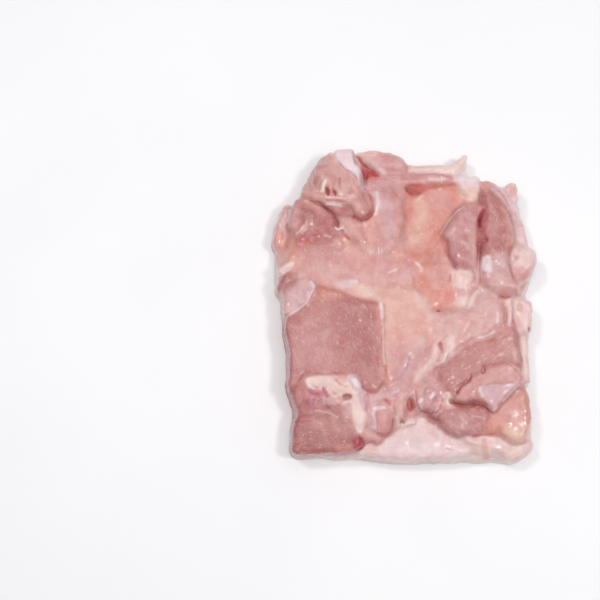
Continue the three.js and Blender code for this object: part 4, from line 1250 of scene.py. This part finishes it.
class ThighColours(bpy.types.PropertyGroup):
    """Colours of the tissues."""

    rose: colour_property("Muscle", "Rose muscle", 188, 118, 115)
    # The dark muscle's tone is also painted shade on steep walls of muscle
    wine: colour_property("Dark muscle", "Dark rose muscle and steep walls", 176, 102, 101)
    brown: colour_property("Brown muscle", "Brownish muscle at the left", 172, 103, 101)
    mauve: colour_property("Mauve muscle", "Muscle under a thin greyish sheet", 204, 149, 149)
    pink: colour_property("Pale muscle", "Pale pink strips and lobes", 213, 158, 155)
    tan: colour_property("Tan muscle", "Beige-pink strips and lobes", 212, 160, 153)
    peach: colour_property("Thin fat", "Flesh under a thin layer of fat", 220, 164, 153)
    salmon: colour_property("Salmon sheet", "Floor of the hollow", 214, 146, 134)
    orange: colour_property("Orange flesh", "Wet orange flesh", 217, 145, 128)
    # Red flesh is also painted shade under lobes and along clefts
    ember: colour_property("Red flesh", "Reddest wet flesh in the hollow", 212, 108, 94)
    fascia: colour_property("Pad", "Smooth sheet on the middle pad", 223, 169, 157)
    film: colour_property("Film", "Muscle seen through a pale film", 212, 168, 166)
    lilac: colour_property("Lilac sheet", "Greyish lilac sheets and ridges", 208, 170, 176)
    # Membrane, fat and skin also serve for painted highlights on wet lobes, ridges and folds
    membrane: colour_property("Membrane", "Lilac-white membrane", 232, 214, 218)
    fat: colour_property("Fat", "Cream fat", 234, 208, 201)
    butter: colour_property("Yellow fat", "Yellowish cream fat", 228, 192, 174)
    skin: colour_property("Skin", "Pale pink skin", 228, 200, 196)
    # The clefts' deep red is partly the red of the flesh in clefts and spots, partly painted shade
    # in hollows, clefts and holes
    deep: colour_property("Cleft", "Deep red of the clefts", 186, 84, 84)
    blood: colour_property("Blood", "Crimson spots", 170, 50, 64)
    magenta: colour_property("Bruise", "Magenta spots", 192, 108, 126)


class ThighSizes(bpy.types.PropertyGroup):
    """Sizes of the meat's relief, in millimetres."""

    cell: bpy.props.FloatProperty(
        name="Cell", description="Grid on which the flesh is sculpted, in millimetres",
        default=0.55, min=0.4, max=2.0)
    fibre_relief: bpy.props.FloatProperty(
        name="Fibre relief", description="Height of the bundles of fibres, in millimetres",
        default=0.14, min=0.0, max=1.0)
    lump_relief: bpy.props.FloatProperty(
        name="Lump relief", description="Height of the soft lumps, in millimetres",
        default=0.35, min=0.0, max=1.5)
    wrinkle_relief: bpy.props.FloatProperty(
        name="Wrinkle relief", description="Height of the wrinkles in the sheets, in millimetres",
        default=0.16, min=0.0, max=1.0)


class ThighStage(bpy.types.PropertyGroup):
    """The table, the lights and the camera."""

    floor_colour: colour_property("Floor", "Colour of the table", 246, 245, 247)
    floor_size: bpy.props.FloatProperty(
        name="Floor size", description="Width of the table", default=6.0, unit="LENGTH")
    top_light: bpy.props.FloatProperty(
        name="Top light", description="Power of the large lamp overhead", default=5.7,
        unit="POWER")
    side_light: bpy.props.FloatProperty(
        name="Side lights", description="Power of each small lamp at the sides", default=2.0,
        unit="POWER")
    sky: bpy.props.FloatProperty(
        name="Sky", description="Brightness of the even light from all round", default=0.37)


class Nodes:
    """A material's node tree with short calls to add to it."""

    def __init__(self, name):
        self.material = bpy.data.materials.new(name)
        self.material.use_nodes = True
        self.tree = self.material.node_tree
        self.shader = self.tree.nodes["Principled BSDF"]

    def add(self, kind, settings=(), **inputs):
        node = self.tree.nodes.new("ShaderNode" + kind)
        for key, value in dict(settings).items():
            setattr(node, key, value)
        for key, value in inputs.items():
            self.put(node, key.replace("_", " "), value)
        return node

    def put(self, node, name, value):
        socket = node.inputs[int(name)] if name.isdigit() else node.inputs[name]
        if isinstance(value, bpy.types.NodeSocket):
            self.tree.links.new(value, socket)
        else:
            socket.default_value = value

    def attribute(self, name):
        node = self.add("Attribute", {"attribute_name": name})
        return node.outputs

    def noise(self, vector, scale, detail=3.0, rough=0.5, distortion=0.0):
        node = self.add("TexNoise", Vector=vector, Scale=scale, Detail=detail,
                        Roughness=rough, Distortion=distortion)
        return node.outputs["Fac"]

    def ramp(self, value, low, high, start=0.0, end=1.0):
        node = self.add("MapRange", {"interpolation_type": "SMOOTHSTEP"}, Value=value)
        node.inputs["From Min"].default_value = low
        node.inputs["From Max"].default_value = high
        node.inputs["To Min"].default_value = start
        node.inputs["To Max"].default_value = end
        return node.outputs["Result"]

    def math(self, operation, a, b=0.0):
        node = self.add("Math", {"operation": operation})
        self.put(node, "0", a)
        self.put(node, "1", b)
        return node.outputs[0]

    def mix(self, share, a, b, blend="MIX"):
        node = self.add("Mix", {"data_type": "RGBA", "blend_type": blend})
        self.put(node, "0", share)
        self.put(node, "6", a)
        self.put(node, "7", b)
        return node.outputs[2]

    def stretched(self, vector, across, along, deep):
        node = self.add("Mapping", Vector=vector)
        node.inputs["Scale"].default_value = (across, along, deep)
        return node.outputs["Vector"]


def flesh_material():
    """Wet raw meat: painted tones with mottling, fibres, flecks, painted highlights as pale specks
    and glints, and a clear coat.
    """
    nodes = Nodes("raw_flesh")
    tone = nodes.attribute("tone")["Color"]
    muscle = nodes.attribute("muscle")["Fac"]
    sheet = nodes.attribute("sheet")["Fac"]
    place = nodes.add("TexCoord").outputs["Object"]
    fibre = nodes.attribute("fibre_place")["Vector"]

    blotch = nodes.noise(place, 150, 3.0, 0.6, 0.4)
    fleck = nodes.noise(nodes.stretched(fibre, 1.25, 0.42, 1.0), 1.0, 2.0, 0.5, 0.9)
    thread = nodes.noise(nodes.stretched(fibre, 1.7, 0.14, 1.0), 1.0, 3.0, 0.6, 0.6)
    sparkle_noise = nodes.noise(place, 1250, 2.0, 0.5)
    grit = nodes.noise(place, 420, 3.0, 0.5)

    mottled = nodes.mix(nodes.ramp(blotch, 0.34, 0.66),
                        nodes.mix(1.0, tone, (0.94, 0.87, 0.88, 1), "MULTIPLY"),
                        nodes.mix(0.08, tone, (1.0, 0.92, 0.90, 1)))
    threaded = nodes.mix(nodes.math("MULTIPLY", nodes.ramp(thread, 0.42, 0.58, 0.32, 0.0),
                                    muscle), mottled, (0.42, 0.15, 0.14, 1))
    flecked = nodes.mix(nodes.math("MULTIPLY", nodes.ramp(fleck, 0.55, 0.74, 0.0, 0.42), muscle),
                        threaded, (0.80, 0.56, 0.55, 1))
    # Painted highlights: pale specks on the sheets
    sparkled_sheets = nodes.mix(nodes.math("MULTIPLY", nodes.ramp(sparkle_noise, 0.66, 0.74, 0.0, 0.35), sheet),
                        flecked, (0.95, 0.86, 0.86, 1))
    # Painted highlights: pale glints over the whole surface
    glint = nodes.noise(place, 640, 2.0, 0.6, 0.8)
    painted_glints = nodes.mix(nodes.ramp(glint, 0.65, 0.73, 0.0, 0.36), sparkled_sheets, (1.0, 0.90, 0.88, 1))
    nodes.put(nodes.shader, "Base Color", painted_glints)

    nodes.put(nodes.shader, "Roughness", nodes.ramp(blotch, 0.3, 0.7, 0.28, 0.5))
    nodes.put(nodes.shader, "Subsurface Weight", 0.6)
    nodes.put(nodes.shader, "Subsurface Radius", (1.0, 0.38, 0.3))
    nodes.put(nodes.shader, "Subsurface Scale", 0.0030)
    nodes.put(nodes.shader, "Specular IOR Level", 0.3)
    nodes.put(nodes.shader, "Coat Weight", 0.85)
    nodes.put(nodes.shader, "Coat Roughness", 0.06)
    nodes.put(nodes.shader, "Coat IOR", 1.35)

    fibres = nodes.math("MULTIPLY", nodes.math("ADD", fleck, thread), muscle)
    height = nodes.math("ADD", nodes.math("MULTIPLY", fibres, 0.4), grit)
    bump = nodes.add("Bump", Height=height, Strength=0.3, Distance=0.0006)
    nodes.put(nodes.shader, "Normal", bump.outputs["Normal"])
    wet_height = nodes.math("ADD", height, nodes.math("MULTIPLY", sparkle_noise, 0.25))
    wet_bump = nodes.add("Bump", Height=wet_height, Strength=0.4, Distance=0.0006)
    nodes.put(nodes.shader, "Coat Normal", wet_bump.outputs["Normal"])
    return nodes.material


def mesh_of(name, corners, quads):
    """A Blender mesh object in metres from corners in the meat's own millimetres."""
    mesh = bpy.data.meshes.new(name)
    places = (corners - np.array([MIDDLE[0], MIDDLE[1], 0.0])) * MM
    mesh.vertices.add(len(places))
    mesh.vertices.foreach_set("co", places.astype(np.float32).ravel())
    mesh.loops.add(quads.size)
    mesh.loops.foreach_set("vertex_index", quads.astype(np.int32).ravel())
    mesh.polygons.add(len(quads))
    mesh.polygons.foreach_set("loop_start", np.arange(0, quads.size, 4, dtype=np.int32))
    mesh.update(calc_edges=True)
    mesh.validate()
    mesh.shade_smooth()
    piece = bpy.data.objects.new(name, mesh)
    bpy.context.scene.collection.objects.link(piece)
    return piece


def store(mesh, name, kind, values):
    """Adds an attribute with a value for each corner."""
    attribute = mesh.attributes.new(name, kind, "POINT")
    key = {"FLOAT": "value", "FLOAT_VECTOR": "vector", "FLOAT_COLOR": "color"}[kind]
    attribute.data.foreach_set(key, np.asarray(values, np.float32).ravel())


def relief(corners, paint, fibres, sizes):
    """Height at each corner of the bundles of fibres, soft lumps and wrinkles."""
    muscle, sheet = paint.sum_of(MUSCLE), paint.sum_of(SHEET)
    smooth = paint.sum_of({"fascia": 1.0})
    bundles = noise(fibres * (1.0, 0.10), 2.2, 21) + 0.6 * noise(fibres * (1.0, 0.14), 1.1, 22)
    lumps = noise(corners, 7.0, 23) + 0.6 * noise(corners, 3.0, 24)
    folds = 1 - 2 * np.abs(noise(corners + 1.2 * noise(corners, 5.0, 27)[:, None], 3.6, 25))
    wrinkles = folds + 0.6 * (1 - 2 * np.abs(noise(corners, 1.7, 26)))
    return (sizes.fibre_relief * muscle * bundles
            + sizes.lump_relief * (1 - 0.7 * smooth) * lumps
            + sizes.wrinkle_relief * sheet * wrinkles)


class THIGH_OT_flesh(bpy.types.Operator):
    """Sculpt the flesh and skin of the thigh as one piece and paint its tissues"""

    bl_idname = "thigh.flesh"
    bl_label = "Flesh and Skin"

    def execute(self, context):
        sizes, colours = context.scene.thigh_sizes, context.scene.thigh_colours
        field, axes = sculpt(sizes.cell)
        corners, quads = surface_of(field, axes, sizes.cell)
        edges = edges_of(quads)
        corners = relaxed(corners, edges, *SMOOTHING)
        normals = normals_of(corners, quads)
        paint, fibres = painted(corners, normals)
        out = relief(corners, paint, fibres, sizes) + finished(paint, corners, normals)
        corners = corners + normals * (out * smooth_step(corners[:, 2], *RELIEF_FOOT))[:, None]
        hollow = hollowness(corners, edges, normals)
        # Painted shade: hollows are darkened with the clefts' deep red
        paint.lay("deep", HOLLOW_SHADE * smooth_step(hollow, *HOLLOW_DEPTHS))
        piece = mesh_of("flesh", corners, quads)
        palette = np.array([getattr(colours, name) for name in TISSUES])
        tone = paint.shares @ palette
        store(piece.data, "tone", "FLOAT_COLOR", np.column_stack([tone, np.ones(len(tone))]))
        store(piece.data, "muscle", "FLOAT", paint.sum_of(MUSCLE))
        store(piece.data, "sheet", "FLOAT", paint.sum_of(SHEET))
        store(piece.data, "fibre_place", "FLOAT_VECTOR",
              np.column_stack([fibres, corners[:, 2]]))
        piece.data.materials.append(flesh_material())
        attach(piece, "root")
        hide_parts("thigh")
        return {"FINISHED"}


def floor_material(colour):
    """A pale matt table with faint clouds in its tone."""
    nodes = Nodes("pale_table")
    place = nodes.add("TexCoord").outputs["Object"]
    cloud = nodes.noise(place, 9, 3.0)
    nodes.put(nodes.shader, "Base Color", nodes.mix(
        nodes.ramp(cloud, 0.3, 0.7, 0.0, 0.5), (*colour, 1),
        (*[v * 0.97 for v in colour], 1)))
    nodes.put(nodes.shader, "Roughness", nodes.ramp(cloud, 0.3, 0.7, 0.5, 0.6))
    return nodes.material


def add_lamp(name, power, size, place):
    """Hangs a square lamp that faces the origin."""
    lamp = bpy.data.lights.new(name, "AREA")
    lamp.energy, lamp.size = power, size
    holder = bpy.data.objects.new(name, lamp)
    holder.location = place
    holder.rotation_euler = (-Vector(place)).to_track_quat("-Z", "Y").to_euler()
    bpy.context.scene.collection.objects.link(holder)


class THIGH_OT_stage(bpy.types.Operator):
    """Lay the pale table, hang the lights and set the camera"""

    bl_idname = "thigh.stage"
    bl_label = "Stage"

    def execute(self, context):
        stage = context.scene.thigh_stage
        half = stage.floor_size / 2
        mesh = bpy.data.meshes.new("table")
        mesh.from_pydata([(-half, -half, 0), (half, -half, 0), (half, half, 0),
                          (-half, half, 0)], [], [(0, 1, 2, 3)])
        table = bpy.data.objects.new("table", mesh)
        context.scene.collection.objects.link(table)
        mesh.materials.append(floor_material(stage.floor_colour))
        add_lamp("top_lamp", stage.top_light, 1.2, (0.05, 0.0, 1.1))
        add_lamp("left_lamp", stage.side_light, 0.12, (-0.45, 0.30, 0.9))
        add_lamp("right_lamp", stage.side_light, 0.12, (0.42, -0.05, 0.9))
        world = bpy.data.worlds.new("soft_sky")
        world.use_nodes = True
        back = world.node_tree.nodes["Background"]
        back.inputs["Color"].default_value = (1, 1, 1, 1)
        back.inputs["Strength"].default_value = stage.sky
        context.scene.world = world
        context.scene.view_settings.view_transform = "Standard"
        self.set_camera(context)
        return {"FINISHED"}

    def set_camera(self, context):
        """A camera 0.5 m from the meat, 80 degrees above the table, centred left of it."""
        data = bpy.data.cameras.new("camera")
        data.sensor_width = SENSOR_WIDTH
        data.lens = FOCAL_PIXELS / PHOTO_SIDE * SENSOR_WIDTH
        camera = bpy.data.objects.new("camera", data)
        shift = Vector((MIDDLE[0], MIDDLE[1], 0))
        place = (Vector(CAMERA_PLACE) - shift) * MM
        camera.location = place
        look = (Vector(CAMERA_TARGET) - shift) * MM - place
        camera.rotation_euler = look.to_track_quat("-Z", "Y").to_euler()
        context.scene.collection.objects.link(camera)
        context.scene.camera = camera


class THIGH_PT_panel(bpy.types.Panel):
    """Sizes, colours and the steps that build the thigh"""

    bl_idname = "THIGH_PT_panel"
    bl_label = "Raw Chicken Thigh"
    bl_space_type = "VIEW_3D"
    bl_region_type = "UI"
    bl_category = "Thigh"

    def draw(self, context):
        layout = self.layout
        for group in ("thigh_sizes", "thigh_colours", "thigh_stage"):
            box = layout.box()
            settings = getattr(context.scene, group)
            for name in settings.bl_rna.properties.keys():
                if name not in ("rna_type", "name"):
                    box.prop(settings, name)
        for operator in OPERATORS:
            layout.operator(operator.bl_idname)


OPERATORS = (THIGH_OT_flesh, THIGH_OT_stage)
GROUPS = {"thigh_sizes": ThighSizes, "thigh_colours": ThighColours, "thigh_stage": ThighStage}


def register():
    """Adds the panel, its settings and its steps to Blender."""
    for kind in (*GROUPS.values(), *OPERATORS, THIGH_PT_panel):
        bpy.utils.register_class(kind)
    for name, kind in GROUPS.items():
        setattr(bpy.types.Scene, name, bpy.props.PointerProperty(type=kind))


def unregister():
    """Takes them out again."""
    for name in GROUPS:
        delattr(bpy.types.Scene, name)
    for kind in reversed((*GROUPS.values(), *OPERATORS, THIGH_PT_panel)):
        bpy.utils.unregister_class(kind)


def main():
    """Builds the thigh and its stage."""
    register()
    bpy.ops.thigh.flesh()
    bpy.ops.thigh.stage()


if __name__ == "__main__":
    main()
